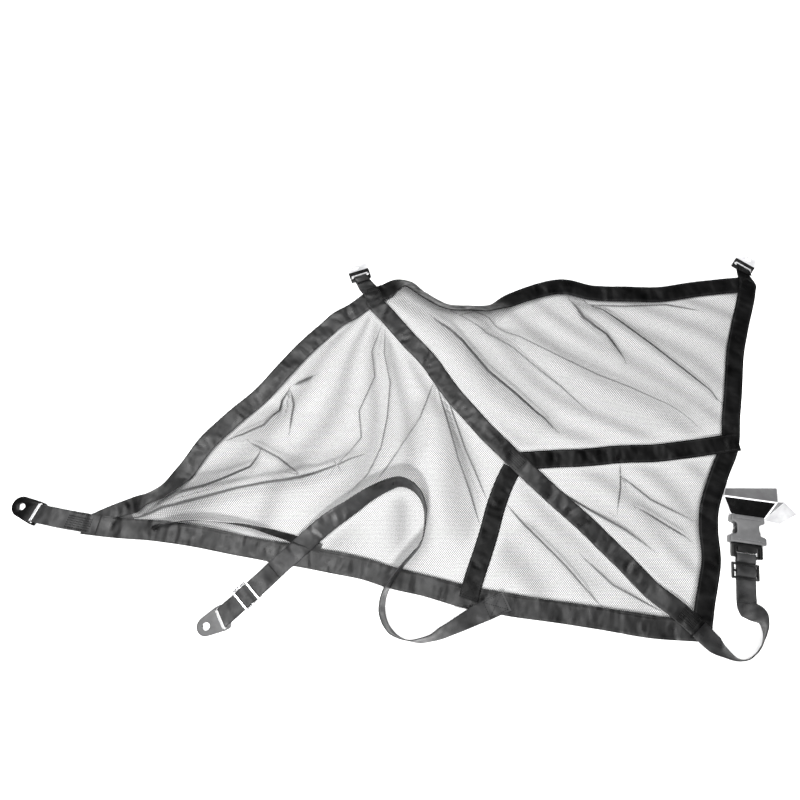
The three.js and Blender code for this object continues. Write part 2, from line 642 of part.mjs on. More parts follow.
// The right strap starts on the lower-right corner and ends over its slide, round the buckle's bar
const RIGHT_STRAP = new Route(rows('x y rest roll', [
  [374.5, -253.5, 4.8, 0], [388, -269, 4.5, 8], [403, -282, 0.6, 50], [420, -290, 0, 86],
  [436, -284, 0, 96], [450, -268, 0, 94], [455, -250, 0, 66], [450, -237, 0, 20],
  [441, -227, 0, 0]]));
const RIGHT_SLIDE_LENGTH = 21;
const rightReachLow = reachOf(RIGHT_END);
const rightSlideAt = 45;
const BAR_LOW = TAB_LOW;
const BAR_HIGH = BAR_LOW + 2.5;
const barOver = BAR_HIGH + GAP + HALF_THICKNESS;
const rightTail = endStations(RIGHT_END, [
  ...straight(12, rightReachLow, UNDER_LEVEL, UNDER_LEVEL),
  ...turn(rightReachLow, UNDER_LEVEL, barOver).slice(1),
  [rightReachLow - 4, barOver],
  ...lid(rightSlideAt, rightSlideAt + RIGHT_SLIDE_LENGTH / 2 + 1, 6, RIGHT_SLIDE_LENGTH),
]);
const rightMain = stops(0, RIGHT_STRAP.length, 11).map((s) => {
  const station = RIGHT_STRAP.station(s);
  station.point.z = RIGHT_STRAP.value('rest', s) + HALF * Math.abs(Math.sin(station.roll))
    + (WEBBING_THICKNESS / 2) * Math.abs(Math.cos(station.roll));
  return station;
});
addPiece('Right-strap',
  webbing([...rightMain, ...rightTail], -HALF_THICKNESS, HALF_THICKNESS), BLACK_WEBBING);
addPiece('Right-slide',
  place(slideFrame(RIGHT_SLIDE_LENGTH), ...along(RIGHT_END, rightSlideAt, 1.5), runHeading(RIGHT_END)),
  BLACK_PLASTIC);

// Buckle, made along +X from the webbing's turn round the insert's bar at the origin
const BUCKLE = { half: 23.5, waist: 14.5, start: 11, length: 37, low: 0, high: 13, wall: 2.2 };
const INSERT = { half: 20, post: 4.5, bar: 3.5, window: 6.7, low: BAR_LOW, high: 9 };
const PRONG = { outer: 17.4, width: 4.2, length: 21, head: 6, low: 3.6, high: 9 };
const MOUTH_HALF = 18.2;

function insertHalf() {
  const frontWall = INSERT.window + 4;
  const back = 3.6;
  return join([
    box(-back - INSERT.bar, -back, -INSERT.half, INSERT.half, BAR_LOW, BAR_HIGH),
    box(-back - INSERT.bar, frontWall, -INSERT.half, -INSERT.half + INSERT.post, INSERT.low, INSERT.high),
    box(-back - INSERT.bar, frontWall, INSERT.half - INSERT.post, INSERT.half, INSERT.low, INSERT.high),
    box(INSERT.window, frontWall, -INSERT.half, INSERT.half, INSERT.low, INSERT.high),
    box(frontWall - 1, frontWall + 24, -6.5, 6.5, PRONG.low + 0.6, PRONG.high - 0.6),
  ]);
}

function receivingHalf() {
  const { half, waist, start, length } = BUCKLE;
  const shape = new THREE.Shape();
  shape.moveTo(start, -half);
  shape.lineTo(start + 9, -half);
  shape.lineTo(start + 12, -waist);
  shape.lineTo(start + 26, -waist);
  shape.lineTo(start + 29, -half + 1.5);
  shape.lineTo(start + length, -half + 2.5);
  shape.lineTo(start + length, half - 2.5);
  shape.lineTo(start + 29, half - 1.5);
  shape.lineTo(start + 26, waist);
  shape.lineTo(start + 12, waist);
  shape.lineTo(start + 9, half);
  shape.lineTo(start, half);
  shape.closePath();
  const cavity = box(start - 1, start + 28, -MOUTH_HALF, MOUTH_HALF,
    BUCKLE.low + BUCKLE.wall, BUCKLE.high - BUCKLE.wall);
  return cut(slab(shape, BUCKLE.low, BUCKLE.high), [cavity]);
}

// A prong reaches forward from the insert's front wall, and its head fills the waist beside the housing
function prong(side) {
  const from = INSERT.window + 4 + GAP;
  const tip = from + PRONG.length;
  const shape = new THREE.Shape();
  shape.moveTo(from, PRONG.outer - PRONG.width);
  shape.lineTo(tip, PRONG.outer - PRONG.width - 2);
  shape.lineTo(tip + 1.5, PRONG.outer - PRONG.width);
  shape.lineTo(tip - PRONG.head, PRONG.outer);
  shape.lineTo(from, PRONG.outer - 0.8);
  shape.closePath();
  const geometry = slab(shape, PRONG.low, PRONG.high);
  return side < 0 ? geometry.rotateX(Math.PI).translate(0, 0, PRONG.low + PRONG.high) : geometry;
}

const buckleAt = [...along(RIGHT_END, rightReachLow + 3.6), runHeading(RIGHT_END)];
addPiece('Buckle-insert', place(insertHalf(), ...buckleAt), BLACK_PLASTIC);
addPiece('Buckle-prong-left', place(prong(1), ...buckleAt), BLACK_PLASTIC);
addPiece('Buckle-prong-right', place(prong(-1), ...buckleAt), BLACK_PLASTIC);
addPiece('Buckle-housing', place(receivingHalf(), ...buckleAt), GREY_PLASTIC);

// The bracket: sheet metal bent along three lines. Its main face rises from the buckle to the long bend,
// the back face falls behind that to a corner on the surface, and a wing falls to the surface at the right.
const BRACKET_DROP = 2.8;
const BRACKET = Object.fromEntries(rows('corner x y z', [
  ['frontLeft', 436, -107.1, 11], ['frontRight', 482, -113.5, 11], ['bendRight', 494.5, -95.3, 22],
  ['backRight', 509, -71.5, BRACKET_DROP], ['wingTop', 508, -93, 14.7],
  ['wingFront', 503, -121, BRACKET_DROP],
]).map((row) => [row.corner, new THREE.Vector3(row.x, row.y, row.z)]));

// A corner at x and y in the plane of three others
function inPlane(x, y, a, b, c) {
  const normal = b.clone().sub(a).cross(c.clone().sub(a));
  return new THREE.Vector3(x, y, a.z - (normal.x * (x - a.x) + normal.y * (y - a.y)) / normal.z);
}
BRACKET.bendLeft = inPlane(425.5, -85.7, BRACKET.frontLeft, BRACKET.frontRight, BRACKET.bendRight);
BRACKET.backLeft = inPlane(434, -73.5, BRACKET.bendLeft, BRACKET.bendRight, BRACKET.backRight);
BRACKET.wingBack = inPlane(528.5, -107.5, BRACKET.wingTop, BRACKET.frontRight, BRACKET.wingFront);

function bracketPlate() {
  const rim = ['frontLeft', 'frontRight', 'wingFront', 'wingBack', 'wingTop', 'bendRight', 'backRight', 'backLeft',
    'bendLeft'];
  const top = [['frontLeft', 'frontRight', 'bendRight'], ['frontLeft', 'bendRight', 'bendLeft'],
    ['bendLeft', 'bendRight', 'backRight'], ['bendLeft', 'backRight', 'backLeft'],
    ['frontRight', 'wingTop', 'bendRight'], ['frontRight', 'wingFront', 'wingTop'],
    ['wingFront', 'wingBack', 'wingTop']];
  const upper = rim.map((corner) => BRACKET[corner]);
  const lower = upper.map((point) => point.clone().addScaledVector(UP, -BRACKET_DROP));
  const faces = [];
  top.forEach((corners) => {
    const [a, b, c] = corners.map((corner) => rim.indexOf(corner));
    faces.push(a, b, c, a + rim.length, c + rim.length, b + rim.length);
  });
  rim.forEach((_, from) => {
    const to = (from + 1) % rim.length;
    faces.push(from, from + rim.length, to + rim.length, from, to + rim.length, to);
  });
  const geometry = new THREE.BufferGeometry();
  const points = [...upper, ...lower].flatMap((point) => point.toArray());
  geometry.setAttribute('position', new THREE.Float32BufferAttribute(points, 3));
  geometry.setIndex(faces);
  return facingOut(geometry);
}
addPiece('Bracket', bracketPlate(), BLACK_STEEL);

net.position.set(-CENTRE.x, -CENTRE.y, 0);

export default net;
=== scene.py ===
import math

import bpy
import numpy as np
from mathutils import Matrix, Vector


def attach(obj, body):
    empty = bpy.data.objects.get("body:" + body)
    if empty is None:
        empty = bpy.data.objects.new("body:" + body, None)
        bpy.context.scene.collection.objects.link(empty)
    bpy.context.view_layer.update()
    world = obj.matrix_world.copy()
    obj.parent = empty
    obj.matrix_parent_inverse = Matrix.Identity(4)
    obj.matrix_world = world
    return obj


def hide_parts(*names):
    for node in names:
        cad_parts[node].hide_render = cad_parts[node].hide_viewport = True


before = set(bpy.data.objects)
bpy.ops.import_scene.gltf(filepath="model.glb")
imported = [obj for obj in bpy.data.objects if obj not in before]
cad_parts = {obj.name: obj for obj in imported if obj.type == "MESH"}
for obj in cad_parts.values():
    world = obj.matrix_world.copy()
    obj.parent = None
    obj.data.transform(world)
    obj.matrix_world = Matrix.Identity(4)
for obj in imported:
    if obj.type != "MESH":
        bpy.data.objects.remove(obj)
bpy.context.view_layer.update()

# The view: from the near side and high above the net, 20 degrees off the upright, as it lies loose on
# a white table top.
CAMERA_AT, CAMERA_TILT, LENS, SENSOR = (-0.012, -0.2748, 0.9128), 20, 30.6, 36
bpy.ops.object.select_all(action="DESELECT")
bpy.ops.object.camera_add(location=CAMERA_AT, rotation=(math.radians(CAMERA_TILT), 0, 0))
camera = bpy.context.object
camera.data.sensor_width = SENSOR
camera.data.lens = LENS
bpy.context.scene.camera = camera
bpy.context.scene.view_settings.view_transform = "Standard"

# The table top: a white laminate board, matt and even. It is no piece of the net, and lies just under
# its lowest points.
TABLE_WIDE, TABLE_LEVEL = 14, -0.0002
bpy.ops.mesh.primitive_plane_add(size=TABLE_WIDE, location=(0, 0, TABLE_LEVEL))
table_top = bpy.context.object
table_top.name = "Table-top"
white = bpy.data.materials.new("white laminate")
white.use_nodes = True
laminate = white.node_tree.nodes["Principled BSDF"]
laminate.inputs["Base Color"].default_value = (0.95, 0.95, 0.95, 1)
laminate.inputs["Roughness"].default_value = 0.9
laminate.inputs["Specular IOR Level"].default_value = 0.1
table_top.data.materials.append(white)

# Studio light: a wide soft box high above the left half, a small strong lamp above the near side, a
# weak panel at the right, and a pale room all round.
ROOM_LIGHT = 0.09
for place, aim, width, power in (((-0.4, 0.3, 1.7), (-0.3, 0.1, 0), 1.4, 58),
                                 ((-0.35, -1.9, 1.9), (0.15, 0.25, 0), 0.35, 120),
                                 ((1.9, -0.95, 1.0), (0.45, -0.1, 0), 0.8, 14)):
    bpy.ops.object.light_add(type="AREA", location=place)
    lamp = bpy.context.object
    lamp.data.size = width
    lamp.data.energy = power
    lamp.rotation_euler = (Vector(aim) - Vector(place)).to_track_quat("-Z", "Y").to_euler()
room = bpy.data.worlds.new("room")
bpy.context.scene.world = room
room.use_nodes = True
room.node_tree.nodes["Background"].inputs["Color"].default_value = (1, 1, 1, 1)
room.node_tree.nodes["Background"].inputs["Strength"].default_value = ROOM_LIGHT

# The mesh panel: one piece of black warp-knitted polyester net, cut to four sides. It lies loose, in soft
# folds, and is sewn under the hems. Sizes are in millimetres, on the plan that the object's middle is
# taken from; the folds are those of the part, with the finer creases laid in between.
MIDDLE = np.array([8.0, -0.4, 0.0])
HALF = 12.7
LAYER = 1.7
NET_THICKNESS = 0.35
HEM_LOW, HEM_HIGH = 1.3, 2.7
UP = np.array([0.0, 0.0, 1.0])


def to_metres(points):
    return (np.asarray(points, float) - MIDDLE) / 1000


def unit(vectors):
    return vectors / np.maximum(np.linalg.norm(vectors, axis=-1, keepdims=True), 1e-9)


def curve_points(points, t):
    """Points on the smooth line through the rows of points, at t from 0 to their number less one."""
    points = np.asarray(points, float)
    padded = np.vstack([2 * points[0] - points[1], points, 2 * points[-1] - points[-2]])
    k = np.clip(np.floor(t).astype(int), 0, len(points) - 2)
    f = (t - k)[:, None]
    p0, p1, p2, p3 = (padded[k + i] for i in range(4))
    d0, d1, d2 = (np.sqrt(np.maximum(np.linalg.norm(b - a, axis=1), 1e-6))[:, None]
                  for a, b in ((p0, p1), (p1, p2), (p2, p3)))
    m1 = ((p1 - p0) / d0 - (p2 - p0) / (d0 + d1) + (p2 - p1) / d1) * d1
    m2 = ((p2 - p1) / d1 - (p3 - p1) / (d1 + d2) + (p3 - p2) / d2) * d1
    return p1 + m1 * f + (3 * (p2 - p1) - 2 * m1 - m2) * f ** 2 + (2 * (p1 - p2) + m1 + m2) * f ** 3


class Route:
    """A plan line through rows of x, y, lift and roll, the last two nought where they are left out.
    Roll lifts the webbing's right-hand edge."""

    def __init__(self, rows):
        self.table = np.array([(list(row) + [0, 0])[:4] for row in rows], float)
        self.t = np.linspace(0, len(rows) - 1, 401)
        line = curve_points(self.table[:, :2], self.t)
        self.s = np.concatenate([[0], np.cumsum(np.linalg.norm(np.diff(line, axis=0), axis=1))])
        self.length = self.s[-1]

    def column(self, name, s):
        t = np.interp(s, self.s, self.t)
        k = np.clip(np.floor(t).astype(int), 0, len(self.table) - 2)
        f = t - k
        values = self.table[:, 2 if name == "lift" else 3]
        return values[k] + (values[k + 1] - values[k]) * f * f * (3 - 2 * f)

    def plan(self, s):
        t = np.interp(s, self.s, self.t)
        step = 1e-3
        ahead = curve_points(self.table[:, :2], np.minimum(t + step, self.t[-1]))
        behind = curve_points(self.table[:, :2], np.maximum(t - step, 0))
        along = unit(ahead - behind)
        inside = np.clip(s, 0, self.length)
        return curve_points(self.table[:, :2], t) + along * (s - inside)[:, None], along

    def spots(self, s):
        """Point, direction across and normal of a webbing's lower face along the line."""
        s = np.asarray(s, float)
        point, along = self.plan(s)
        right = np.stack([along[:, 1], -along[:, 0], np.zeros(len(s))], axis=1)
        roll = np.radians(self.column("roll", s))[:, None]
        across = right * np.cos(roll) + UP * np.sin(roll)
        normal = UP * np.cos(roll) - right * np.sin(roll)
        z = self.column("lift", s) + HALF * np.abs(np.sin(roll[:, 0]))
        return np.column_stack([point, z]), across, normal


def climb(table, s):
    """Height over other webbing: rows give from, to, layers and the ramp's length."""
    lift = np.zeros(len(s))
    for start, end, layers, ramp in table:
        away = np.maximum(np.maximum(start - s, s - end), 0)
        lift = np.maximum(lift, layers * LAYER * np.maximum(0, 1 - away / ramp))
    return lift


hem_routes = {
    "left": Route([
        [-419, -121], [-397, -111], [-364, -97], [-342, -88, 0, 38], [-320, -75, 0, 30],
        [-299, -48, 1], [-272, -8, 3], [-243, 24, 2], [-207, 59], [-174, 98, 3], [-146, 133, 2],
        [-114, 166], [-95, 184, 2], [-72, 199, 1], [-45, 223]]),
    "top": Route([
        [-45, 223], [-26, 230], [-10, 239, 0, 20], [7, 239, 0, 42], [28, 222, 0, 47], [65, 200, 0, 47],
        [100, 197, 0, 47], [133, 198, 0, 44], [165, 215, 1, 14], [216, 234, 2, 5], [244, 239, 1],
        [284, 229], [336, 226, 1], [389, 226, 1], [451, 236], [524, 243]]),
    "right": Route([
        [524, 243], [514, 209], [498, 168, 2], [486, 132, 1], [477, 88], [465, 34], [455, -10],
        [433, -53], [414, -94, 1], [407, -128, 2], [405, -167], [396, -199], [385, -230], [378, -255]]),
    "bottom": Route([
        [378, -255], [327, -252], [277, -245, 1], [220, -236], [176, -230], [125, -222], [76, -213],
        [31, -201], [-15, -190], [-54, -178], [-136, -163], [-203, -151], [-257, -140, 2],
        [-323, -130, 2], [-366, -127], [-419, -121]]),
}
hem_corners = {"left": (54, 8), "top": (8, 16), "right": (17, 18), "bottom": (18, 54)}
diagonal_route = Route([
    [-45, 225], [-42, 213], [-17, 182], [11, 148], [37, 118], [55, 91], [76, 59], [102, 27], [127, -3],
    [155, -32], [187, -65], [213, -90], [240, -117], [264, -142], [293, -173], [320, -203],
    [349, -229], [372, -251]])
long_cross_route = Route([
    [160, -33], [190, -31], [245, -29], [301, -24], [357, -21], [414, -14], [467, -7]])
short_cross_route = Route([
    [150, -43], [137, -67], [126, -94], [116, -128], [104, -161], [93, -190], [84, -217]])
lower_strap_route = Route([
    [133, -219, 4.8], [112, -228, 4.8], [86, -240, 4.0, 30], [57, -254, 0, 50], [28, -266, 0, 75],
    [2, -266, 0, 92], [-18, -254, 0, 105], [-27, -232, 0.1, 108], [-23, -209, 2.7, 104],
    [-11, -189, 3.2, 97], [7, -167, 3.2, 93], [23, -148, 1.9, 90], [29, -121, 1.7, 88],
    [28, -94, 1.7, 85], [16, -74, 1.7, 80], [-4, -65, 1.7, 70], [-24, -71, 1.7, 62],
    [-45, -82, 1.7, 55], [-71, -100, 1.7, 42], [-98, -118, 1.9, 24], [-122, -138, 3.3, 8],
    [-149, -163, 3.3], [-158, -171, 3.2]])

# Broad folds, as in the part: x, y at both ends, height, width
FOLDS = [
    (69, 156, 192, 24, 11, 17), (171, 144, 402, 21, 13, 20), (293, 189, 431, 67, 9, 15),
    (252, 216, 316, 120, 7, 13), (-312, -96, -73, -36, 13, 17), (-294, -77, -202, -45, 9, 14),
    (-25, 140, -30, -19, 9, 18), (53, 55, 95, -95, 10, 15), (31, 32, -11, -33, 8, 17),
    (-184, 28, -226, -4, 8, 13), (-195, -16, -140, -56, 7, 13), (168, -135, 241, -206, 8, 13),
    (213, -75, 312, -148, 8, 14), (318, -102, 379, -142, 7, 13)]
# Creases: height, half width, how dark the painted shade along it is, and the points each runs through
CREASES = [
    (2.6, 5, 2.0, [(-318, -92), (-290, -82), (-263, -72), (-235, -58), (-208, -44), (-196, -20)]),
    (2.6, 6, 1.9, [(-372, -114), (-300, -98), (-222, -74), (-188, -67), (-138, -60), (-87, -41),
                   (-53, -24)]),
    (2.0, 5, 1.2, [(-212, -8), (-190, -20), (-170, -31), (-150, -48), (-138, -58)]),
    (2.2, 5, 1.6, [(-162, 74), (-172, 56), (-174, 39), (-194, 16), (-222, 2), (-246, -4)]),
    (1.8, 4, 1.0, [(-160, 69), (-155, 49), (-159, 12)]),
    (1.6, 3, 1.8, [(-130, 92), (-140, 86), (-154, 80)]),
    (1.6, 6, 0.7, [(-26, 172), (-27, 127), (-18, 80), (-22, 27), (-30, -17), (-49, -53), (-76, -80)]),
    (1.4, 5, 0.6, [(-30, 180), (-45, 130), (-40, 90), (-62, 40), (-58, 0), (-80, -30), (-104, -60)]),
    (1.6, 6, 0.7, [(46, 88), (24, 27), (-4, -17), (-36, -60)]),
    (2.0, 5, 1.0, [(48, 85), (62, 27), (75, -31), (91, -80), (103, -121)]),
    (1.8, 5, 0.8, [(61, 72), (86, -17), (114, -87)]),
    (2.8, 4, 2.2, [(44, 181), (64, 164), (87, 143), (122, 96), (156, 65), (187, 34), (214, 12)]),
    (2.4, 8, 0.8, [(52, 206), (118, 184), (169, 151), (229, 116), (278, 89), (319, 72), (373, 46),
                   (421, 12)]),
    (1.6, 5, 0.8, [(60, 196), (96, 176), (140, 152), (186, 112), (226, 78), (262, 40)]),
    (2.6, 4, 2.0, [(252, 214), (268, 184), (284, 168), (299, 156), (320, 119)]),
    (2.8, 4, 1.9, [(275, 214), (316, 181), (364, 140), (405, 100), (430, 76), (453, 54)]),
    (1.8, 5, 0.9, [(274, 209), (334, 206), (395, 209), (446, 199)]),
    (2.4, 5, 1.4, [(175, -41), (192, -58), (214, -76), (252, -101), (296, -128), (329, -154)]),
    (1.6, 5, 0.8, [(300, -38), (296, -70), (289, -101)]),
    (2.0, 4, 1.3, [(316, -101), (350, -124), (377, -141)]),
    (1.8, 5, 0.9, [(298, -53), (335, -87), (385, -114)]),
    (2.2, 5, 1.2, [(141, -94), (172, -134), (206, -170), (230, -199), (254, -224)]),
    (2.0, 5, 0.9, [(236, -163), (272, -199), (332, -232)]),
]
# Soft puckers round a point: x, y, radius, height
PUCKERS = [(-75, 27, 18, 1.1), (-75, 27, 38, 0.9), (-144, -2, 16, 1.0), (-144, -2, 34, 0.8),
           (-20, -30, 30, 0.8)]
# How far from the straps the broad folds and the fine relief begin and are whole, how far a raised
# hem lifts the net, and how far from its line a crease's shade goes
FOLDS_FROM, FOLDS_WHOLE, FINE_FROM, FINE_WHOLE = 20, 56, 13, 30
HEM_REACH, PUCKER_WIDTH, CREASE_REACH = 42, 6, 12


def beside_line(x, y, line):
    """Distance from grid points to a broken line, with a minus on its right-hand side."""
    best = np.full(x.shape, 1e9)
    for (x0, y0), (x1, y1) in zip(line[:-1], line[1:]):
        dx, dy = x1 - x0, y1 - y0
        t = np.clip(((x - x0) * dx + (y - y0) * dy) / (dx * dx + dy * dy), 0, 1)
        apart = np.hypot(x - x0 - t * dx, y - y0 - t * dy)
        side = np.where(dx * (y - y0) - dy * (x - x0) < 0, -1, 1)
        best = np.where(apart < np.abs(best), apart * side, best)
    return best


def taper(x, y, line):
    """Full in the middle of a broken line, and nothing at its ends."""
    reach = 0.25 * sum(math.dist(a, b) for a, b in zip(line[:-1], line[1:]))
    ends = [np.hypot(x - px, y - py) for px, py in (line[0], line[-1])]
    return np.clip(np.minimum(*ends) / reach, 0, 1)


def broad_folds(x, y):
    height = np.zeros(x.shape)
    for x0, y0, x1, y1, top, width in FOLDS:
        dx, dy = x1 - x0, y1 - y0
        length = math.hypot(dx, dy)
        t = ((x - x0) * dx + (y - y0) * dy) / length ** 2
        past = np.maximum(np.maximum(-t, t - 1), 0) * length / (2 * width)
        side = np.abs(dx * (y - y0) - dy * (x - x0)) / length / width
        height += top * np.exp(-side ** 2 - 4 * past ** 2)
    return height


def smoothstep(value, low, high):
    t = np.clip((value - low) / (high - low), 0, 1)
    return t * t * (3 - 2 * t)


LINES_ALONG, LINES_UP = 270, 170


def hem_ring(name, divisions):
    """Where the net's outer lines lie under a hem."""
    route = hem_routes[name]
    first, last = hem_corners[name]
    inner = np.linspace(first, route.length - last, divisions - 1)
    return route.spots(np.concatenate([[0], inner, [route.length]]))


rings = {"left": hem_ring("left", LINES_UP), "top": hem_ring("top", LINES_ALONG),
         "right": hem_ring("right", LINES_UP), "bottom": hem_ring("bottom", LINES_ALONG)}
centre_of = {name: ring[0] for name, ring in rings.items()}
inner_of = {name: ring[0] + ring[1] * HALF for name, ring in rings.items()}
normal_of = {name: ring[2] for name, ring in rings.items()}
for side in ("right", "bottom"):
    for table in (centre_of, inner_of, normal_of):
        table[side] = table[side][::-1]

corner_ll = (inner_of["left"][1] + inner_of["bottom"][1]) / 2
corner_lr = (inner_of["right"][1] + inner_of["bottom"][-2]) / 2
corner_ur = (inner_of["right"][-2] + inner_of["top"][-2]) / 2
corner_ul = inner_of["top"][1]
west, east, south, north = (inner_of[side][1:-1].copy() for side in ("left", "right", "bottom", "top"))
west[0], west[-1], east[0], east[-1] = corner_ll, corner_ul, corner_lr, corner_ur
south[0], south[-1], north[0], north[-1] = corner_ll, corner_lr, corner_ul, corner_ur
u = np.linspace(0, 1, LINES_ALONG - 1)[:, None, None]
v = np.linspace(0, 1, LINES_UP - 1)[None, :, None]
cloth = (west[None] * (1 - u) + east[None] * u + south[:, None] * (1 - v) + north[:, None] * v
         - corner_ll * (1 - u) * (1 - v) - corner_lr * u * (1 - v) - corner_ul * (1 - u) * v
         - corner_ur * u * v)
x, y = cloth[..., 0], cloth[..., 1]

strips = [diagonal_route, long_cross_route, short_cross_route, lower_strap_route]
strip_lines = [route.plan(np.linspace(0, route.length, 60))[0] for route in strips]
away = np.min([np.abs(beside_line(x, y, line)) for line in strip_lines], axis=0)
free = smoothstep(away, FOLDS_FROM, FOLDS_WHOLE)
edge_lift = np.zeros(x.shape)
for line in (west[None, :], east[None, :], south[:, None], north[:, None]):
    apart = np.hypot(line[..., 0] - x, line[..., 1] - y) / HEM_REACH
    edge_lift += line[..., 2] * np.exp(-apart ** 2)
fine = np.zeros(x.shape)
crease_place = np.full(x.shape, 1e3)
crease_shade = np.zeros(x.shape)
for height, width, dark, line in CREASES:
    beside = beside_line(x, y, line)
    end = taper(x, y, line)
    fine += height * end * np.exp(-np.abs(beside / width) ** 1.5)
    # Each point keeps the painted shade of its nearest crease
    nearer = np.abs(beside) < np.abs(crease_place)
    crease_place = np.where(nearer, beside, crease_place)
    shade = dark * np.sqrt(end) * (1 - smoothstep(np.abs(beside), 5, CREASE_REACH))
    crease_shade = np.where(nearer, shade, crease_shade)
for px, py, radius, height in PUCKERS:
    fine += height * np.exp(-((np.hypot(x - px, y - py) - radius) / PUCKER_WIDTH) ** 2)
# Loose cloth flows in shallow waves: fanned out from the top left corner, and slanting at the right
FAN_X, FAN_Y = -30, 235
SLANT_X, SLANT_Y = 0.62, 0.78
from_x, from_y = x - FAN_X, y - FAN_Y
fan = np.arctan2(from_y, from_x) * 25 + 1.3 * np.sin(np.hypot(from_x, from_y) / 46) + 0.8 * np.sin(x / 29)
slant = ((SLANT_X * x + SLANT_Y * y) / 7.5 + 1.6 * np.sin((SLANT_Y * x - SLANT_X * y) / 61)
         + 0.9 * np.sin(y / 33))
at_right = smoothstep(x + 0.86 * y, 110, 190)
ripple = 0.8 + 0.8 * (np.sin(fan) * (1 - at_right) + np.sin(slant) * at_right)
clear = smoothstep(away, FINE_FROM, FINE_WHOLE)
inner_lines = cloth.copy()
inner_lines[..., 2] = free * (broad_folds(x, y) + edge_lift) + clear * (fine + ripple)
# Near the hems the net's height goes over to the hem's own
from_side, from_end = np.minimum(u, 1 - u)[..., 0], np.minimum(v, 1 - v)[..., 0]
hem_blend = np.clip(np.minimum(from_side * 40, from_end * 26), 0, 1)
rim_height = np.where(from_side < from_end * 1.9,
                      np.where(u[..., 0] < 0.5, west[None, :, 2], east[None, :, 2]),
                      np.where(v[..., 0] < 0.5, south[:, None, 2], north[:, None, 2]))
inner_lines[..., 2] = inner_lines[..., 2] * hem_blend + rim_height * (1 - hem_blend)

# The net is darker where its threads lie closer, at a seam, on slopes and on ripples: partly real bunching,
# partly painted shade
net_points = np.zeros((LINES_ALONG + 1, LINES_UP + 1, 3))
net_normals = np.tile(UP, (LINES_ALONG + 1, LINES_UP + 1, 1))
net_bunch_and_shade, net_place, net_crease_shade = (np.zeros((LINES_ALONG + 1, LINES_UP + 1)) for _ in range(3))
net_points[1:-1, 1:-1] = inner_lines
net_bunch_and_shade[1:-1, 1:-1] = 0.16 * (ripple / 1.6) ** 3 * clear
net_place[1:-1, 1:-1] = np.clip(crease_place, -CREASE_REACH, CREASE_REACH)
net_crease_shade[1:-1, 1:-1] = crease_shade
SEAM_TURN = 0.4
net_points[:, 0], net_points[:, -1] = centre_of["bottom"], centre_of["top"]
net_points[0, :], net_points[-1, :] = centre_of["left"], centre_of["right"]
slope = unit(np.cross(np.gradient(net_points, axis=0), np.gradient(net_points, axis=1)))
net_normals[1:-1, 1:-1] = slope[1:-1, 1:-1]
for side in (0, 1, -2, -1):
    net_bunch_and_shade[:, side] += SEAM_TURN
    net_bunch_and_shade[side, :] += SEAM_TURN
# Slopes that face the far side are darkened further: painted shade, not more thread
net_bunch_and_shade += 0.1 * (1 / np.maximum(slope[..., 2], 0.5) - 1) + 0.15 * np.clip(slope[..., 1], 0, 0.7)
net_normals[:, 0], net_normals[:, -1] = normal_of["bottom"], normal_of["top"]
net_normals[0, :], net_normals[-1, :] = normal_of["left"], normal_of["right"]


def new_piece(name, points, faces, uv=None, material=None):
    """A piece from points in millimetres, its faces, and a place on the cloth for each point."""
    mesh = bpy.data.meshes.new(name)
    mesh.from_pydata([tuple(p) for p in to_metres(points)], [], faces)
    if uv is not None:
        layer = mesh.uv_layers.new(name="cloth")
        corners = np.zeros(len(mesh.loops), int)
        mesh.loops.foreach_get("vertex_index", corners)
        layer.data.foreach_set("uv", (np.asarray(uv)[corners] / 1000).ravel())
    piece = bpy.data.objects.new(name, mesh)
    bpy.context.collection.objects.link(piece)
    if material is not None:
        mesh.materials.append(material)
    return piece


def only(*pieces):
    bpy.ops.object.select_all(action="DESELECT")
    for piece in pieces:
        piece.select_set(True)
    bpy.context.view_layer.objects.active = pieces[0]


def smooth(piece, angle=40):
    only(piece)
    bpy.ops.object.shade_smooth_by_angle(angle=math.radians(angle))


def grid_faces(rows, columns):
    """Faces of a closed sheet: its upper points come first, row by row, and then its lower points."""
    at = np.arange(rows * columns).reshape(rows, columns)
    a, b, c, d = at[:-1, :-1].ravel(), at[1:, :-1].ravel(), at[1:, 1:].ravel(), at[:-1, 1:].ravel()
    low = rows * columns
    upper = np.stack([a, b, c, d], axis=1)
    lower = np.stack([a, d, c, b], axis=1) + low
    rim = np.concatenate([at[:-1, 0], at[-1, :-1], at[:0:-1, -1], at[0, :0:-1]])
    after = np.roll(rim, -1)
    side = np.stack([rim, rim + low, after + low, after], axis=1)
    return np.vstack([upper, lower, side]).tolist()


def feed(tree, socket, value):
    """A number, a colour or another node's socket into a socket."""
    if isinstance(value, (int, float, tuple)):
        socket.default_value = value
    else:
        tree.links.new(value, socket)


def new_node(tree, kind, **inputs):
    """A node with its inputs by name; an underscore stands for a space."""
    node = tree.nodes.new("ShaderNode" + kind)
    for name, value in inputs.items():
        feed(tree, node.inputs[name.replace("_", " ")], value)
    return node


def new_group(name, inputs, outputs):
    """An empty node group, its input sockets and its end. An input without a value is a vector."""
    group = bpy.data.node_groups.new(name, "ShaderNodeTree")
    for label, value in inputs.items():
        kind = "NodeSocketVector" if value is None else "NodeSocketFloat"
        made = group.interface.new_socket(name=label, in_out="INPUT", socket_type=kind)
        if value is not None:
            made.default_value = value
    for label in outputs:
        group.interface.new_socket(name=label, in_out="OUTPUT", socket_type="NodeSocketFloat")
    return group, group.nodes.new("NodeGroupInput").outputs, group.nodes.new("NodeGroupOutput").inputs


def placed(tree, group, **inputs):
    """A node group put in a material, with its own values there."""
    node = tree.nodes.new("ShaderNodeGroup")
    node.node_tree = group
    for name, value in inputs.items():
        feed(tree, node.inputs[name], value)
    return node.outputs


def on_cloth(tree):
    """Places on the flat cloth."""
    node = tree.nodes.new("ShaderNodeUVMap")
    node.uv_map = "cloth"
    return node.outputs["UV"]


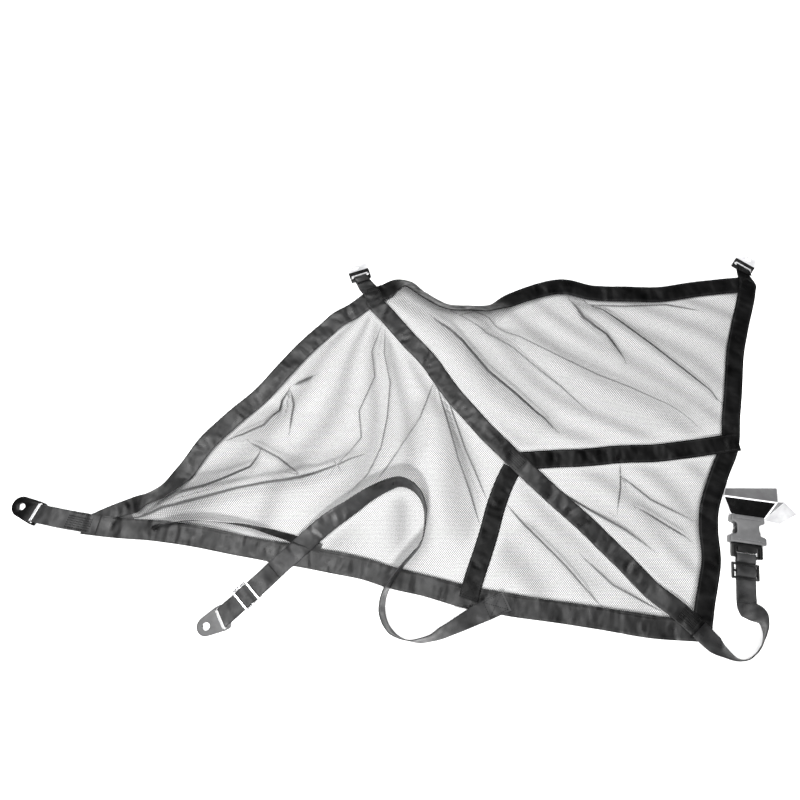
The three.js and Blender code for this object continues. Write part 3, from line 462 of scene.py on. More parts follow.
def on_piece(tree, attribute):
    """What the piece's own attribute says at each place."""
    node = tree.nodes.new("ShaderNodeAttribute")
    node.attribute_name = attribute
    return node.outputs["Fac"]


def maths(tree, operation, *values, clamp=False):
    """One Math node, whose inputs are numbers or other nodes' sockets."""
    node = tree.nodes.new("ShaderNodeMath")
    node.operation = operation
    node.use_clamp = clamp
    for place, value in enumerate(values):
        feed(tree, node.inputs[place], value)
    return node.outputs[0]


def along_direction(tree, vector, degrees):
    """How far a place on the cloth lies in one direction."""
    node = tree.nodes.new("ShaderNodeVectorMath")
    node.operation = "DOT_PRODUCT"
    feed(tree, node.inputs[0], vector)
    feed(tree, node.inputs[1], (math.cos(math.radians(degrees)), math.sin(math.radians(degrees)), 0))
    return node.outputs["Value"]


def step_down(tree, value, low, high):
    """From 1 below low to 0 above high."""
    node = new_node(tree, "MapRange", Value=value, From_Min=low, From_Max=high, To_Min=1.0, To_Max=0.0)
    node.interpolation_type = "SMOOTHSTEP"
    return node.outputs["Result"]


def net_threads():
    """Knitted net: two families of slanting threads, thicker where they cross."""
    group, given, out = new_group("net threads", {"Vector": None, "Pitch": 0.0025, "Thread": 0.05},
                                  ("Mask", "Height"))
    distances = []
    for degrees in (38, 142):
        place = along_direction(group, given["Vector"], degrees)
        turn = maths(group, "FRACT", maths(group, "DIVIDE", place, given["Pitch"]))
        distances.append(maths(group, "ABSOLUTE", maths(group, "SUBTRACT", turn, 0.5)))
    thin, thick, knot_in, knot_out = (maths(group, "MULTIPLY", given["Thread"], part)
                                      for part in (0.6, 1.4, 1.5, 2.0))
    one, other = (step_down(group, d, thin, thick) for d in distances)
    knot = maths(group, "MULTIPLY", *(step_down(group, d, knot_in, knot_out) for d in distances))
    mask = maths(group, "MAXIMUM", maths(group, "MAXIMUM", one, other), knot)
    feed(group, out["Mask"], mask)
    feed(group, out["Height"], maths(group, "ADD", mask, knot))
    return group


def grey(value):
    """A black or grey with the faint blue of black cloth and steel."""
    return (value, value, value * 1.02, 1)


def finish(name, base, roughness, metallic=0.0, specular=0.5):
    """A material, its nodes and its Principled shader."""
    material = bpy.data.materials.new(name)
    material.use_nodes = True
    shader = material.node_tree.nodes["Principled BSDF"]
    for label, value in (("Base Color", grey(base)), ("Roughness", roughness), ("Metallic", metallic),
                         ("Specular IOR Level", specular)):
        shader.inputs[label].default_value = value
    return material, material.node_tree, shader


def bump(tree, shader, height, strength, distance, under=None):
    """Relief on a shader's surface, over a broader relief where one is given."""
    node = new_node(tree, "Bump", Strength=strength, Distance=distance, Height=height)
    if under is not None:
        feed(tree, node.inputs["Normal"], under)
    feed(tree, shader.inputs["Normal"], node.outputs["Normal"])
    return node.outputs["Normal"]


NET_PITCH, THREAD_SHARE, THREAD_COVER = 0.0021, 0.22, 0.36
black_net, net_tree, net_shader = finish("black net", 0.018, 0.55, specular=0.4)
on_net = {name: on_piece(net_tree, name) for name in ("bunching_and_shade", "crease_place", "crease_shade")}
# A crease is a thin dark line of painted shade, wider where that shade is deep
crease_width = maths(net_tree, "MULTIPLY_ADD", on_net["crease_shade"], 0.4, 0.6)
crease_off = maths(net_tree, "POWER", maths(net_tree, "DIVIDE", on_net["crease_place"], crease_width), 4)
crease_line = maths(net_tree, "DIVIDE", on_net["crease_shade"], maths(net_tree, "ADD", crease_off, 1))
bunching_and_shade = maths(net_tree, "ADD", on_net["bunching_and_shade"], crease_line)
# Thicker, more opaque threads carry the net's real bunching and its painted shade alike
width_here = maths(net_tree, "MULTIPLY_ADD", bunching_and_shade, 0.1, THREAD_SHARE)
cover_here = maths(net_tree, "MULTIPLY_ADD", bunching_and_shade, 0.25, THREAD_COVER, clamp=True)
threads = placed(net_tree, net_threads(), Vector=on_cloth(net_tree), Pitch=NET_PITCH, Thread=width_here)
feed(net_tree, net_shader.inputs["Alpha"], maths(net_tree, "MULTIPLY", threads["Mask"], cover_here))
bump(net_tree, net_shader, threads["Height"], 0.5, 0.0002)

upper = net_points + net_normals * NET_THICKNESS
net_all = np.vstack([upper.reshape(-1, 3), net_points.reshape(-1, 3)])
flat_place = net_points.reshape(-1, 3)[:, :2]
mesh_panel = new_piece("Net-panel", net_all, grid_faces(LINES_ALONG + 1, LINES_UP + 1),
                       np.vstack([flat_place, flat_place]), black_net)
for name, values in (("bunching_and_shade", net_bunch_and_shade), ("crease_place", net_place), ("crease_shade", net_crease_shade)):
    kept = mesh_panel.data.attributes.new(name, "FLOAT", "POINT")
    kept.data.foreach_set("value", np.concatenate([values.ravel(), values.ravel()]))
smooth(mesh_panel, 60)
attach(mesh_panel, "net")
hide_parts("Mesh-panel")

# The hems: 25 mm flat polyester webbing, black, laid over the net's edge and sewn through near both of
# its selvedges. They lie a little uneven, as sewn webbing does, and the left and top hems roll up.
PLY = 0.7
SEAM_THREAD = 0.012
webbings = {}


def flat_weave():
    """Webbing: ribs across it, broken by the warp ends that run along it."""
    group, given, out = new_group("flat weave", {"Vector": None, "Rib": 0.0016, "End": 0.0012}, ("Height",))
    split = new_node(group, "SeparateXYZ", Vector=given["Vector"]).outputs
    end_turn = maths(group, "DIVIDE", split["Y"], given["End"])
    half_step = maths(group, "MULTIPLY", maths(group, "MODULO", maths(group, "FLOOR", end_turn), 2), 0.5)
    rib_turn = maths(group, "ADD", maths(group, "DIVIDE", split["X"], given["Rib"]), half_step)
    rib = maths(group, "SINE", maths(group, "MULTIPLY", rib_turn, 2 * math.pi))
    end = maths(group, "ABSOLUTE", maths(group, "SUBTRACT", maths(group, "FRACT", end_turn), 0.5))
    height = maths(group, "SUBTRACT", maths(group, "MULTIPLY_ADD", rib, 0.35, 0.5), end)
    feed(group, out["Height"], height)
    return group


def seam_stitches():
    """A lockstitch row at a distance either side of the webbing's middle."""
    group, given, out = new_group("seam stitches", {"Vector": None, "Row": 0.0101, "Length": 0.0032},
                                  ("Mask",))
    split = new_node(group, "SeparateXYZ", Vector=given["Vector"]).outputs
    off_middle = maths(group, "ABSOLUTE", split["Y"])
    off_row = maths(group, "ABSOLUTE", maths(group, "SUBTRACT", off_middle, given["Row"]))
    turn = maths(group, "FRACT", maths(group, "DIVIDE", split["X"], given["Length"]))
    off_stitch = maths(group, "ABSOLUTE", maths(group, "SUBTRACT", turn, 0.5))
    mask = maths(group, "MULTIPLY", step_down(group, off_row, 0.0003, 0.00045),
                 step_down(group, off_stitch, 0.38, 0.44))
    feed(group, out["Mask"], mask)
    return group


def cloudy(tree, scale, low=0.0, high=1.0):
    """Soft patches over a piece, from Object coordinates."""
    place = tree.nodes.new("ShaderNodeTexCoord").outputs["Object"]
    noise = new_node(tree, "TexNoise", Vector=place, Scale=scale, Detail=3.0)
    spread = new_node(tree, "MapRange", Value=noise.outputs["Fac"], From_Min=0.3, From_Max=0.7,
                      To_Min=low, To_Max=high)
    return spread.outputs["Result"]


def mixed(tree, amount, first, second):
    """A grey between two, by a mask."""
    node = tree.nodes.new("ShaderNodeMix")
    node.data_type = "RGBA"
    feed(tree, node.inputs["Factor"], amount)
    for place, value in ((6, first), (7, second)):
        feed(tree, node.inputs[place], grey(value) if isinstance(value, float) else value)
    return node.outputs[2]


weave_group, seam_group = flat_weave(), seam_stitches()


def webbing_finish(name, dark, light, sewn, specular=0.3):
    """Black webbing: weave, a mottle of lighter patches painted in for the sheen of its uneven face, and seam
    rows where it is sewn down.
    """
    roughness = 0.38
    material, tree, shader = finish(name, dark, roughness, specular=specular)
    place = on_cloth(tree)
    # The lighter patches mixed into the colour are painted sheen
    colour = mixed(tree, cloudy(tree, 38.0), dark, light)
    height = placed(tree, weave_group, Vector=place)["Height"]
    if sewn:
        seam = placed(tree, seam_group, Vector=place)["Mask"]
        colour = mixed(tree, seam, colour, SEAM_THREAD)
        height = maths(tree, "MULTIPLY_ADD", seam, 0.9, height)
    feed(tree, shader.inputs["Base Color"], colour)
    feed(tree, shader.inputs["Roughness"], cloudy(tree, 55.0, roughness - 0.13, roughness + 0.22))
    stretched = new_node(tree, "Mapping", Vector=place, Scale=(30, 20, 1)).outputs["Vector"]
    waves = new_node(tree, "TexNoise", Vector=stretched, Scale=1.0, Detail=2.0).outputs["Fac"]
    bump(tree, shader, height, 0.25, 0.0003, bump(tree, shader, waves, 1.0, 0.01))
    return material


hem_finish = webbing_finish("hem webbing", 0.001, 0.009, True)
# The top and right hems and the two cross straps take a darker copy of the hem webbing, with less sheen:
# painted shade for the side away from the soft box
shaded_hem_finish = webbing_finish("hem webbing in painted shade", 0.0003, 0.004, True, 0.1)
strap_finish = webbing_finish("strap webbing", 0.006, 0.03, False, 0.22)


def uneven(s, across, seed, size):
    """How a sewn webbing's face rises and falls along and across it."""
    wave = (np.sin(s / 11.3 + 3.1 * seed) * 0.45 + np.sin(s / 6.1 + 1.7 * seed + across / 9) * 0.3
            + np.sin(s / 27.0 + 0.9 * seed - across / 14) * 0.5)
    return size * wave


def webbing(name, points, across, low, high, material, half=HALF, seed=1.0, lumps=0.22, shift=0.0,
            sway=0.35, pinch=0.0, pinched_to=40, lean=0):
    """Closed webbing on a line of points, each with a direction across. Its selvedges are rounded. A
    pinch draws its first end in, to the side that it leans to."""
    along = unit(np.gradient(points, axis=0))
    normal = unit(np.cross(across, along))
    s = np.concatenate([[0], np.cumsum(np.linalg.norm(np.diff(points, axis=0), axis=1))])
    r = (high - low) / 2
    flat = np.linspace(-(half - r), half - r, 9)
    arc = np.radians([45, 90, 135])
    section = [(v, high) for v in flat]
    section += [(half - r + r * math.sin(a), low + r + r * math.cos(a)) for a in arc]
    section += [(v, low) for v in flat[::-1]]
    section += [(-(half - r) - r * math.sin(a), low + r - r * math.cos(a)) for a in arc]
    section = np.array(section)
    drawn_in = pinch * (1 - smoothstep(s, 6, pinched_to))[:, None]
    sides, level = section[:, 0][None] * (1 - drawn_in) + lean * half * drawn_in, section[:, 1][None]
    swing = sway * (np.sin(s / 31 + 2.3 * seed) + 0.6 * np.sin(s / 12.5 + seed))[:, None]
    upper = (level - low) / (high - low)
    lift = uneven(s[:, None], sides, seed, lumps) * upper
    place = (points[:, None] + across[:, None] * (sides + swing + shift)[..., None]
             + normal[:, None] * (level + np.minimum(lift, 0.3))[..., None])
    place[..., 2] = np.maximum(place[..., 2], 0.05)
    rows, columns = place.shape[:2]
    at = np.arange(rows * columns).reshape(rows, columns)
    a, b = at[:-1].ravel(), at[1:].ravel()
    c, d = np.roll(at, -1, axis=1)[1:].ravel(), np.roll(at, -1, axis=1)[:-1].ravel()
    faces = np.stack([a, b, c, d], axis=1).tolist()
    faces += [at[0].tolist(), at[-1][::-1].tolist()]
    uv = np.stack(np.broadcast_arrays(s[:, None], sides), axis=-1).reshape(-1, 2)
    piece = new_piece(name, place.reshape(-1, 3), faces, uv, material)
    smooth(piece, 50)
    webbings[name] = (s, points, across, normal, high)
    return piece


def hem_line(name, before, after, climbs, step=4.0):
    """A hem's line, longer at both ends, over what lies under it."""
    route = hem_routes[name]
    s = np.linspace(-before, route.length + after, int((route.length + before + after) / step))
    points, across = route.spots(s)[:2]
    points[:, 2] += climb(climbs, s)
    return points, across


def on_net_body(piece, node):
    """A piece that rides with the net, in the place of one of the part's."""
    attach(piece, "net")
    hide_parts(node)


left_hem = webbing("Left-hem", *hem_line("left", 8, 4, []), HEM_LOW, HEM_HIGH, hem_finish, seed=1.3,
                   pinch=0.42, pinched_to=105, lean=-1)
top_hem = webbing("Top-hem", *hem_line("top", 6, 6, [(-6, 15, 1, 18)]), HEM_LOW, HEM_HIGH, shaded_hem_finish,
                  seed=2.1)
bottom_line = hem_line("bottom", 12, 8, [(742, 900, 1, 20)])
BETWEEN_PLIES = 2.0
bottom_hem = webbing("Bottom-hem", *bottom_line, BETWEEN_PLIES, HEM_HIGH, hem_finish, seed=3.7, lumps=0.3,
                     shift=-0.9)
# The bottom hem's under ply shows past the upper one, and at the left the cloth turned in between them
# has come away and stands up
under_ply = webbing("Under-ply", *bottom_line, HEM_LOW, BETWEEN_PLIES, hem_finish, seed=12.9, shift=1.6)
turned_in = Route([
    [-334, -124, 1, 40], [-318, -121, 1, 72], [-286, -117, 1.5, 84], [-245, -118.5, 1.5, 80],
    [-205, -124, 1.5, 66], [-165, -134, 1.3, 44], [-134, -144, 1.3, 24], [-108, -152, 1.2, 6]])
TURNED_HALF, TURNED_PLY = 6.5, 0.25
turned_points, turned_across = turned_in.spots(np.linspace(0, turned_in.length, 60))[:2]
turned_points[:, 2] -= (HALF - TURNED_HALF) * np.abs(turned_across[:, 2])
standing_ply = webbing("Standing-ply", turned_points, -turned_across, -TURNED_PLY, TURNED_PLY, hem_finish,
                       half=TURNED_HALF, seed=4.4, lumps=0.0, sway=0.6)
only(bottom_hem, under_ply, standing_ply)
bpy.ops.object.join()
on_net_body(left_hem, "Upper-left-edge-webbing")
on_net_body(top_hem, "Top-edge-webbing")
on_net_body(bottom_hem, "Bottom-edge-webbing")

# Ends that loop through the tabs: each webbing runs down into its tab's slot, turns round the bar and
# comes back flat against itself. A row holds where an end starts, where its slot is, the webbing's
# heading at the start and at the tab, and how far along it begins to turn.
TAB_LOW, TAB_HIGH = 1.7, 4.2
UNDER, OVER = 0.7, 5.2
SLOT_EDGE = 2.5
ends = {
    "left": ((-410, -122), (-492.7, -105.6), 169, 157, 0),
    "top left": ((-45, 225), (-65, 257.2), 122, 109, 0),
    "top right": ((524, 243), (521, 272.5), 74, 54, 0),
    "lower": ((-160, -173), (-232.2, -240.5), 223, 208, 72),
    "right": ((441, -227), (450.5, -161.7), 82, 82, 0),
}


def reach(end):
    """How far an end's slot is from its start."""
    return math.dist(ends[end][0], ends[end][1])


def run_heading(end):
    """The way from an end's start to its slot, in degrees."""
    start, slot = ends[end][:2]
    return math.degrees(math.atan2(slot[1] - start[1], slot[0] - start[0]))


def on_strap(end, s, aside=0.0):
    """A place along a strap's end, for what is threaded on it."""
    start, slot = np.array(ends[end][0], float), np.array(ends[end][1], float)
    run = (slot - start) / np.linalg.norm(slot - start)
    return start + run * s + np.array([-run[1], run[0]]) * aside


def end_line(end, profile):
    """Points and directions across, from a profile of distance towards the slot and height."""
    start, slot, heading, tab_heading, turn_from = ends[end]
    start, slot = np.array(start, float), np.array(slot, float)
    run = (slot - start) / np.linalg.norm(slot - start)
    profile = np.array(profile, float)
    turned = smoothstep(profile[:, 0], turn_from, reach(end))
    angle = np.radians(heading + (tab_heading - heading) * turned)
    points = np.column_stack([start + run * profile[:, :1], profile[:, 1]])
    across = np.column_stack([np.sin(angle), -np.cos(angle), np.zeros(len(angle))])
    return points, across


def round_bar(at, low, high, steps=12):
    """A half circle round a bar, from the lower to the upper level."""
    angle = np.linspace(0, math.pi, steps + 1)
    radius = (high - low) / 2
    return [(at + abs(radius) * math.sin(a), (low + high) / 2 - radius * math.cos(a)) for a in angle]


def straight(start, end, low, high, step=12.0):
    """Points on a straight run from one distance and level to another."""
    count = max(1, round(abs(end - start) / step))
    return [(start + (end - start) * k / count, low + (high - low) * k / count) for k in range(count + 1)]


def resampled(points, across, step=3.0):
    """The same line with even, close points."""
    gaps = np.linalg.norm(np.diff(points, axis=0), axis=1)
    keep = np.concatenate([[True], gaps > 0.05])
    points, across = points[keep], across[keep]
    t = np.linspace(0, len(points) - 1, 40 * len(points))
    line = curve_points(points, t)
    s = np.concatenate([[0], np.cumsum(np.linalg.norm(np.diff(line, axis=0), axis=1))])
    even = np.interp(np.linspace(0, s[-1], int(s[-1] / step)), s, t)
    k = np.clip(np.floor(even).astype(int), 0, len(points) - 2)
    f = (even - k)[:, None]
    return curve_points(points, even), unit(across[k] * (1 - f) + across[k + 1] * f)


def turned_over(line):
    """A line that runs away from its tab's slot, whose right-hand side is the other one."""
    return line[0], -line[1]


def chained(*lines):
    """Lines one after the other, as one."""
    return np.vstack([line[0] for line in lines]), np.vstack([line[1] for line in lines])


def tab_loop(end, runs_to):
    """A loop through a tab, from the end that lies flat on top to where its webbing begins."""
    bar = reach(end) - SLOT_EDGE
    return turned_over(end_line(end, [(bar - 9, OVER), *round_bar(bar, UNDER, OVER)[::-1],
                                      *straight(bar, runs_to, UNDER, UNDER, 9)[1:]]))


# The right hem: it is one webbing with the loop of the top right tab, sewn on the net's right side, and a
# little narrower where it turns round the tab's bar.
TAB_PINCH = 0.22
right_points, right_across = hem_line("right", 0, 12, [(-60, 17, 1, 20), (502, 540, 1, 20)], 9.0)
right_points[:, 2] += (HEM_LOW + HEM_HIGH) / 2
right_line = resampled(*chained(tab_loop("top right", 19), (right_points, right_across)))
right_hem = webbing("Right-hem", *right_line, -PLY, PLY, shaded_hem_finish, seed=5.2, pinch=TAB_PINCH)
on_net_body(right_hem, "Right-edge-webbing")

# The straps across the net: the long and short ones butt against the diagonal's middle, where it lies
# over them and is sewn down; the diagonal's upper end is the loop of the top left tab.
ON_NET = 2.0


def cross_line(route, climbs, step=7.0):
    """A strap's line on the net, over what lies under it."""
    s = np.linspace(0, route.length, int(route.length / step))
    points, across = route.spots(s)[:2]
    points[:, 2] += ON_NET + climb(climbs, s)
    return points, across


long_length, short_length = long_cross_route.length, short_cross_route.length
diagonal_length = diagonal_route.length
long_line = cross_line(long_cross_route, [(long_length - 43, long_length, 1, 16)])
long_cross = webbing("Long-cross-strap", *long_line, -PLY, PLY, shaded_hem_finish, seed=6.1, lumps=0.15)
short_line = cross_line(short_cross_route, [(short_length - 32, short_length, 1, 16)])
short_cross = webbing("Short-cross-strap", *short_line, -PLY, PLY, shaded_hem_finish, seed=7.3, lumps=0.15)
diagonal_climbs = [(0, 32, 2, 26), (296, 376, 1, 18), (diagonal_length - 38, diagonal_length, 2, 30)]
diagonal_line = cross_line(diagonal_route, diagonal_climbs, 14.0)
diagonal_line = resampled(*chained(tab_loop("top left", 17), diagonal_line))
diagonal = webbing("Diagonal-strap", *diagonal_line, -PLY, PLY, hem_finish, seed=8.4, lumps=0.15,
                   pinch=TAB_PINCH)
on_net_body(long_cross, "Long-cross-webbing")
on_net_body(short_cross, "Short-cross-webbing")
on_net_body(diagonal, "Diagonal-webbing")

# The left anchor strap: a short webbing folded double through the left tab, and sewn down with close
# bar rows where it lies over the ends of the left and bottom hems.
THIRD = HEM_LOW + 2 * LAYER + PLY
left_reach = reach("left") - SLOT_EDGE
left_line = end_line("left", [
    *straight(32, left_reach, UNDER, UNDER), *round_bar(left_reach, UNDER, OVER)[1:],
    *straight(left_reach - 12, 30, OVER, THIRD), *straight(18, -4, THIRD, THIRD)])
left_anchor = webbing("Left-anchor", *resampled(*left_line), -PLY, PLY, strap_finish, seed=9.5, lumps=0.1)
on_net_body(left_anchor, "Left-anchor-strap")

# The two adjustable straps: plain webbing, sewn down at one end. Each lies over its slide's middle bar,
# and turns on edge where it bends.
MIDDLE_LOW, MIDDLE_HIGH, OUTER_LOW, OUTER_HIGH = 1.7, 3.7, 3.4, 5.9
SLIDE_BAR, SLIDE_PLAY = 3.0, 0.3
LID = MIDDLE_LOW + PLY
HUMP = MIDDLE_HIGH + SLIDE_PLAY + PLY


def over_slide(at, start, end, length):
    """The strap's upper run at a slide: under its outer bars and over the middle one."""
    bar = length / 2 - SLIDE_BAR / 2
    way = 1 if end > start else -1
    return [*straight(start, at - way * (bar + 4), LID, LID, 9), (at - way * (bar - 2), LID),
            (at - way * 2.6, HUMP), (at + way * 2.6, HUMP), (at + way * (bar - 2), LID),
            *straight(at + way * (bar + 4), end, LID, LID, 9)]


def loose_line(route, step):
    """A strap's free run, on its edge or flat, resting at each row's lift."""
    s = np.linspace(0, route.length, int(route.length / step))
    points, across, normal = route.spots(s)
    points[:, 2] += PLY * np.abs(normal[:, 2])
    return points, across


LOWER_SLIDE_AT, LOWER_SLIDE_LENGTH = 58.0, 23.0
off_hem = HEM_LOW + LAYER + PLY
lower_reach = reach("lower") - SLOT_EDGE
lower_line = end_line("lower", [
    (9, off_hem), *straight(24, lower_reach, UNDER, UNDER), *round_bar(lower_reach, UNDER, OVER)[1:],
    (lower_reach - 5, OVER),
    *over_slide(LOWER_SLIDE_AT, LOWER_SLIDE_AT + LOWER_SLIDE_LENGTH / 2 + 2.6, 26, LOWER_SLIDE_LENGTH),
    (12, off_hem + LAYER - 0.4)])
lower_line = resampled(*chained(loose_line(lower_strap_route, 13), lower_line))
lower_strap = webbing("Lower-adjusting-strap", *lower_line, -PLY, PLY, strap_finish, seed=10.6, lumps=0.06,
                      sway=0.1)
on_net_body(lower_strap, "Lower-strap")

right_strap_route = Route([
    [374.5, -253.5, 4.8], [388, -269, 4.5, 8], [403, -282, 0.6, 50], [420, -290, 0, 92],
    [436, -284, 0, 106], [450, -268, 0, 112], [455, -250, 0, 102], [450, -237, 0, 36], [441, -227]])
RIGHT_SLIDE_AT, RIGHT_SLIDE_LENGTH = 45.0, 21.0
BAR_OVER = TAB_HIGH + SLIDE_PLAY + PLY
right_end = reach("right")
right_strap_line = end_line("right", [
    *straight(12, right_end, UNDER, UNDER), *round_bar(right_end, UNDER, BAR_OVER)[1:],
    (right_end - 4, BAR_OVER),
    *over_slide(RIGHT_SLIDE_AT, RIGHT_SLIDE_AT + RIGHT_SLIDE_LENGTH / 2 + 1, 6, RIGHT_SLIDE_LENGTH)])
right_strap_line = resampled(*chained(loose_line(right_strap_route, 11), right_strap_line))
right_strap = webbing("Buckle-strap", *right_strap_line, -PLY, PLY, strap_finish, seed=11.7, lumps=0.06,
                      sway=0.1)
on_net_body(right_strap, "Right-strap")

# The stitches that carry load: black bonded thread in closed boxes, crosses and bar rows, each stitch
# pulled down into the webbing. They are sewn through all the layers that lie there.
STITCH, STITCH_GAP, THREAD, HEAVY_THREAD = 2.3, 0.7, 0.26, 0.42
STITCH_RISE, STITCH_SUNK = 0.42, 0.1
black_thread, thread_tree, thread_shader = finish("bonded thread", 0.001, 0.5, specular=0.03)
feed(thread_tree, thread_shader.inputs["Base Color"],
     mixed(thread_tree, cloudy(thread_tree, 400.0), 0.0005, 0.003))


def on_webbing(name, s, across_at, lift):
    """Points on a webbing's upper face, at distances along and across it."""
    at, points, across, normal, high = webbings[name]
    rows = [np.stack([np.interp(s, at, table[:, k]) for k in range(3)], axis=1)
            for table in (points, across, normal)]
    facing = np.where(rows[2][:, 2:] < 0, -1, 1)
    return rows[0] + rows[1] * across_at[:, None] + facing * rows[2] * (high + lift)[:, None]


def stitching(name, on, lines, thread):
    """Stitches along lines of (along, across) points on a webbing, joined as one piece."""
    rings, sides = 5, 6
    turn = np.linspace(0, 2 * math.pi, sides, endpoint=False)
    points, faces = [], []
    for line in lines:
        line = np.array(line, float)
        reach_at = np.concatenate([[0], np.cumsum(np.linalg.norm(np.diff(line, axis=0), axis=1))])
        for k in range(int(reach_at[-1] / (STITCH + STITCH_GAP))):
            span = (STITCH + STITCH_GAP) * k + np.linspace(0, STITCH, rings)
            arch = np.sin(np.linspace(0, math.pi, rings))
            along, aside = (np.interp(span, reach_at, line[:, k]) for k in (0, 1))
            middle = on_webbing(on, along, aside, STITCH_RISE * arch - STITCH_SUNK)
            run = unit(middle[-1] - middle[0])
            beside = unit(np.cross(UP, run))
            first = len(points)
            for centre, swell in zip(middle, 0.35 + 0.65 * arch):
                points += [centre + thread * swell * (beside * math.cos(a) + UP * math.sin(a)) for a in turn]
            for ring in range(rings - 1):
                low, top = first + ring * sides, first + (ring + 1) * sides
                faces += [(low + a, low + (a + 1) % sides, top + (a + 1) % sides, top + a)
                          for a in range(sides)]
            faces += [tuple(range(first + sides - 1, first - 1, -1)),
                      tuple(range(first + (rings - 1) * sides, first + rings * sides))]
    piece = new_piece(name, points, faces, material=black_thread)
    smooth(piece, 60)
    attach(piece, "net")


def box_and_cross(start, end, edge):
    """A closed box with both diagonals."""
    return [[(start, -edge), (end, -edge), (end, edge), (start, edge), (start, -edge)],
            [(start, -edge), (end, edge)], [(start, edge), (end, -edge)]]


def bar_rows(start, end, edge, rows):
    """Close rows to and fro across the webbing."""
    return [[(s, -edge), (s, edge)] for s in np.linspace(start, end, rows)] + [
        [(start, -edge), (end, -edge)], [(start, edge), (end, edge)]]


def nearest(name, px, py):
    """How far along a webbing its line passes nearest to a place on the plan."""
    at, points = webbings[name][:2]
    return at[np.argmin(np.hypot(points[:, 0] - px, points[:, 1] - py))]


# Name, webbing, the distance along it that the patch is placed by, where the patch starts and ends from
# there, and its number of rows; a patch without rows is a box with a cross
BOX_EDGE, ROWS_EDGE = 10.3, 10.4
patches = (
    ("Box-stitch", "Lower-adjusting-strap", nearest("Lower-adjusting-strap", 114, -224), -15, 11, 0),
    ("Left-stitches", "Left-anchor", nearest("Left-anchor", -431, -121), -17, 15, 19),
    ("Middle-stitches", "Diagonal-strap", nearest("Diagonal-strap", 155, -31), -13, 11, 14),
    ("Corner-stitches", "Diagonal-strap", nearest("Diagonal-strap", 372, -251), -25, -3, 13),
    ("Top-left-stitches", "Diagonal-strap", nearest("Diagonal-strap", -45, 223), -6, 14, 0),
    ("Top-right-stitches", "Right-hem", nearest("Right-hem", 522, 238), -4, 16, 0),
    ("Long-cross-stitches", "Long-cross-strap", long_length, -24, -3, 0),
    ("Short-cross-stitches", "Short-cross-strap", short_length, -22, -3, 0))
for name, on, at, begins, stops, rows in patches:
    if rows:
        stitching(name, on, bar_rows(at + begins, at + stops, ROWS_EDGE, rows), HEAVY_THREAD)
    else:
        stitching(name, on, box_and_cross(at + begins, at + stops, BOX_EDGE), THREAD)

# The tabs: 2.5 mm steel, punched, with the strap's slot and a bolt hole, and edges rounded over. The left
# one is flat and painted black, and the lower one is flat, bare and dull.
MM = 0.001
NARROW, WEAR_FROM = 0.5, 1.5


def settle(piece):
    """A piece's place, turn and size go into its mesh."""
    only(piece)
    bpy.ops.object.transform_apply(location=True, rotation=True, scale=True)
    return piece


def block(low, high):
    """A box between two corners, in millimetres."""
    low, high = np.array(low, float), np.array(high, float)
    bpy.ops.mesh.primitive_cube_add(size=1, location=(low + high) / 2 * MM, scale=(high - low) * MM)
    return settle(bpy.context.object)


def rod(x, y, low, high, radius, sides=48):
    """An upright round bar, in millimetres."""
    bpy.ops.mesh.primitive_cylinder_add(vertices=sides, radius=radius * MM, depth=(high - low) * MM,
                                        location=(x * MM, y * MM, (low + high) / 2 * MM))
    return settle(bpy.context.object)


def applied(piece, kind, **settings):
    """A modifier put on a piece and applied."""
    modifier = piece.modifiers.new(kind.title(), kind)
    for name, value in settings.items():
        setattr(modifier, name, value)
    only(piece)
    bpy.ops.object.modifier_apply(modifier=modifier.name)
    return piece


def wrapped(*pieces):
    """One plate drawn tight round its parts, as a punched outline is."""
    only(*pieces)
    bpy.ops.object.join()
    bpy.ops.object.mode_set(mode="EDIT")
    bpy.ops.mesh.select_all(action="SELECT")
    bpy.ops.mesh.convex_hull()
    bpy.ops.mesh.select_all(action="SELECT")
    bpy.ops.mesh.dissolve_limited(angle_limit=math.radians(0.5))
    bpy.ops.object.mode_set(mode="OBJECT")
    return pieces[0]


def combine(piece, other, operation):
    """A boolean with another piece, which it uses up."""
    applied(piece, "BOOLEAN", operation=operation, object=other, solver="EXACT")
    bpy.data.objects.remove(other)
    return piece


def cut(piece, *cutters):
    for cutter in cutters:
        combine(piece, cutter, "DIFFERENCE")
    return piece


def weld(piece, *others):
    for other in others:
        combine(piece, other, "UNION")
    return piece


def ease(piece, width, segments=2, angle=30):
    """Edges rounded over."""
    return applied(piece, "BEVEL", width=width * MM, segments=segments, limit_method="ANGLE",
                   angle_limit=math.radians(angle), miter_outer="MITER_ARC")


def mark_edges(piece):
    """Marks the narrow faces that round the edges over, for the wear along them."""
    mesh = piece.data
    points = [vertex.co for vertex in mesh.vertices]
    narrow = []
    for face in mesh.polygons:
        longest = max((points[a] - points[b]).length for a, b in face.edge_keys)
        narrow.append(float(face.area / longest < NARROW * MM))
    edge = mesh.attributes.new("edge", "FLOAT", "FACE")
    edge.data.foreach_set("value", narrow)


def set_down(piece, name, at, degrees):
    """A piece made about the origin along +X, turned to its heading and put in its place on the plan."""
    piece.name = name
    piece.rotation_euler = (0, 0, math.radians(degrees))
    piece.location = to_metres([at[0], at[1], 0])
    settle(piece)
    bpy.ops.object.shade_smooth_by_angle(angle=math.radians(35))
    mark_edges(piece)


